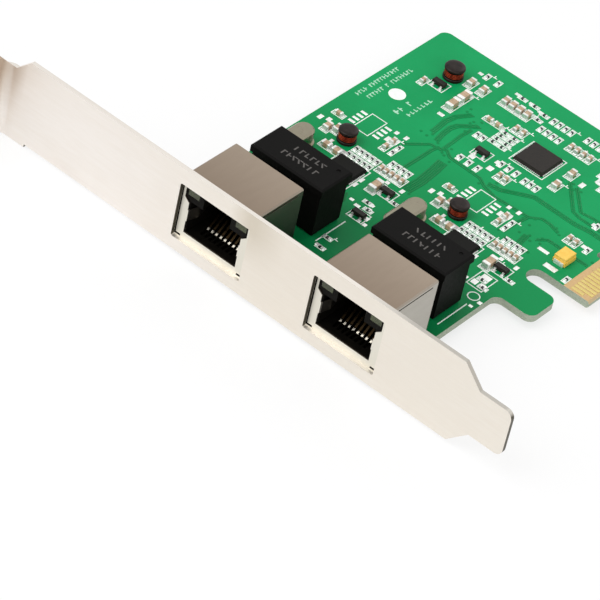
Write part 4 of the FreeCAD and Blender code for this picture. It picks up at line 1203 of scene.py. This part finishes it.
# %% choke spools
def drum(name, node):
    low, high = card_box(node)
    radius, tall = (high.y - low.y) / 2, high.z - low.z
    waist = radius - 0.95
    profile = [(0, 0), (radius - 0.08, 0), (radius, 0.08), (radius, 0.58), (radius - 0.1, 0.68),
               (waist, 0.7), (waist, tall - 0.7), (radius - 0.1, tall - 0.68),
               (radius, tall - 0.58), (radius, tall - 0.32), (radius - 0.12, tall - 0.13),
               (radius - 0.4, tall - 0.02), (radius * 0.5, tall), (0, tall)]
    work = bmesh.new()
    turned(work, profile, 40)
    piece = mesh_at(work, name, (low + high) / 2)
    shade_round(piece, 38)
    wear(piece, ferrite_black)
    adopt(piece, "ferrite", node)


for number in (1, 2, 3):
    drum("choke_drum_%d" % number, "choke_core_%d" % number)
    wind("wound_wire_%d" % number, "choke_winding_%d" % number)

# %% [markdown]
# ## Marks and leads on the larger parts
# The moulded modules carry a pale code, shown here as plain bars that spell nothing. They are thin
# raised slips of grey, since laser marking is a change of colour and has no depth to speak of.

# %% module marks
MARK_HEIGHT = 0.012
code_bars = []
for number in (1, 2):
    low, high = card_box("magnetics_%d" % number)
    for row, y in enumerate((low.y + 3.0, low.y + 5.6)):
        x = low.x + 5.2 + row
        while x < high.x - 4.0:
            code_bars.append(((x, y, high.z), (0.3, 1.3, MARK_HEIGHT), chance.choice((0, 0, 35))))
            if chance.random() > 0.4:
                cross = y + chance.choice((-0.5, 0.0, 0.5))
                code_bars.append(((x + 0.35, cross, high.z), (0.7, 0.25, MARK_HEIGHT), 0))
            x += 1.25
stamp("module_marks", flat_block, code_bars, grey_ink, "module_black")

# %% [markdown]
# The flat chips have a row of bright lead ends along each side. The leads are flush with the
# body's foot, so only short soldered stubs show, and stamping one soft block covers all of them.

# %% chip leads
LEAD_PITCH = 0.4
LEAD_OUT, LEAD_LONG, LEAD_WIDE, LEAD_TALL = 0.06, 0.36, 0.24, 0.2
chip_leads = []
for node, count in (("bridge_chip", 16), ("controller_1", 12), ("controller_2", 12)):
    low, high = card_box(node)
    middle = (low + high) / 2
    for i in range(count):
        along = (i - (count - 1) / 2) * LEAD_PITCH
        for side, edge in ((-1, low), (1, high)):
            chip_leads.append(((edge.x + side * LEAD_OUT, middle.y + along, 0.0),
                               (LEAD_LONG, LEAD_WIDE, LEAD_TALL), 0))
            chip_leads.append(((middle.x + along, edge.y + side * LEAD_OUT, 0.0),
                               (LEAD_WIDE, LEAD_LONG, LEAD_TALL), 0))
stamp("chip_leads", soft_block, chip_leads, tin_metal, "tinned_metal")

# %% [markdown]
# A flat chip's body comes out of a mould, so its sides lean in above the foot and its top edge is
# soft. A sharp box would show no bright line along that edge, which is what the eye reads as
# moulded plastic.


# %% chip bodies
def chip_body(name, node, material):
    """A flat moulded chip: upright foot, sides that lean in, soft top edge."""
    lean, soft = 0.24, 0.07
    low, high = card_box(node)
    middle, foot = (low + high) / 2, low.z + (high.z - low.z) * 0.3
    work = bmesh.new()
    block(work, tuple(low), tuple(high))
    split_level(work, foot)
    for vert in work.verts:
        if vert.co.z > foot + 0.1:
            for axis in (0, 1):
                vert.co[axis] += lean if vert.co[axis] < middle[axis] else -lean
    rim = [edge for edge in work.edges if min(vert.co.z for vert in edge.verts) > foot + 0.1]
    bmesh.ops.bevel(work, geom=rim, offset=soft, segments=2, affect="EDGES", profile=0.5)
    piece = mesh_at(work, name)
    wear(piece, material)
    adopt(piece, "chip_black", node)


chip_body("bridge_chip_body", "bridge_chip", chip_black)
for number in (1, 2):
    chip_body("controller_body_%d" % number, "controller_%d" % number, shaded_controller_epoxy)

# %% [markdown]
# ## Floor, light and camera
# A pale floor keeps the card's soft shadow. It glows in part for the camera and for reflections,
# so that the ground is nearly white without more light on the card, and metal shows it too.


# %% floor
def make_floor():
    half_side, drop, glow = 2.0, 0.0001, 0.75
    mesh = bpy.data.meshes.new("floor")
    corners = [(x, y, cad_box[0][2] - drop) for x, y in
               ((-half_side, -half_side), (half_side, -half_side), (half_side, half_side),
                (-half_side, half_side))]
    mesh.from_pydata(corners, [], [(0, 1, 2, 3)])
    floor = bpy.data.objects.new("floor", mesh)
    bpy.context.collection.objects.link(floor)
    paint = Surface("pale_floor", Roughness=0.9, Base_Color=(0.9, 0.9, 0.9, 1))
    white = paint.node("ShaderNodeEmission", {}, {"Color": (1, 1, 1, 1)})
    matt = Value(paint, paint.shader.outputs[0])
    mixed = paint.node("ShaderNodeMixShader", {}, {0: paint.seen() * glow, 1: matt, 2: white})
    paint.tree.links.new(mixed.socket, paint.tree.nodes["Material Output"].inputs["Surface"])
    wear(floor, paint.material)


make_floor()

# %% [markdown]
# The world lights everything evenly. What the camera or a metal surface sees of it is a plain
# white room, and the light that it casts on the card is lower, so pale parts don't burn out.

# %% world
ROOM_LIGHT = 0.55
world = bpy.data.worlds.new("studio")
bpy.context.scene.world = world
world.use_nodes = True
sky = Graph(world.node_tree)
room = sky.tree.nodes["Background"]
room.inputs["Color"].default_value = (1, 1, 1, 1)
strength = sky.spread(sky.seen(), 0.0, 1.0, ROOM_LIGHT, 1.0)
sky.tree.links.new(strength.socket, room.inputs["Strength"])
print("light from the room:", ROOM_LIGHT)

# %% [markdown]
# Three large round lamps give soft edges to every shadow. A small lamp would draw hard shadows of
# hundreds of tiny parts and make the board hard to read.


# %% lamps
def lamp(name, place, side, power):
    """A round lamp of some width that faces the middle of the card."""
    data = bpy.data.lights.new(name, "AREA")
    data.shape = "DISK"
    data.size = side
    data.energy = power
    made = bpy.data.objects.new(name, data)
    made.location = place
    made.rotation_mode = "QUATERNION"
    made.rotation_quaternion = (-Vector(place)).to_track_quat("-Z", "Y")
    bpy.context.collection.objects.link(made)


lamp("key", (-0.35, -0.45, 0.75), 0.9, 5.0)
lamp("fill", (0.7, -0.5, 0.5), 0.8, 2.5)
lamp("back", (0.1, 0.8, 0.6), 0.8, 2.0)
print("lamps:", len(bpy.data.lights))

# %% [markdown]
# The camera looks down at the ports from the side. A long lens from far away keeps the bracket's
# long edges nearly parallel, and a slight roll sets the card across the frame.

# %% camera
AIM = at(68.5, 7.8, -2.43)
DISTANCE = 716.8 * MM
AZIMUTH, ELEVATION, ROLL = math.radians(31.25), math.radians(40.4), math.radians(13.3)
back = Vector((math.sin(AZIMUTH) * math.cos(ELEVATION), -math.cos(AZIMUTH) * math.cos(ELEVATION),
               math.sin(ELEVATION)))
camera_data = bpy.data.cameras.new("camera")
camera_data.lens = 239.0
camera_data.sensor_width = 36.0
camera_data.clip_start = 0.01
camera_data.clip_end = 10.0
camera = bpy.data.objects.new("camera", camera_data)
bpy.context.collection.objects.link(camera)
camera.location = AIM + back * DISTANCE
camera.rotation_mode = "QUATERNION"
upright = back.to_track_quat("Z", "Y")
camera.rotation_quaternion = upright @ Matrix.Rotation(ROLL, 3, "Z").to_quaternion()
bpy.context.scene.camera = camera
bpy.context.scene.view_settings.view_transform = "Standard"
print("camera at:", [round(number, 3) for number in camera.location])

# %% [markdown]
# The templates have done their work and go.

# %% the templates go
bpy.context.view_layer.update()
for form in TEMPLATES:
    bpy.data.objects.remove(form)
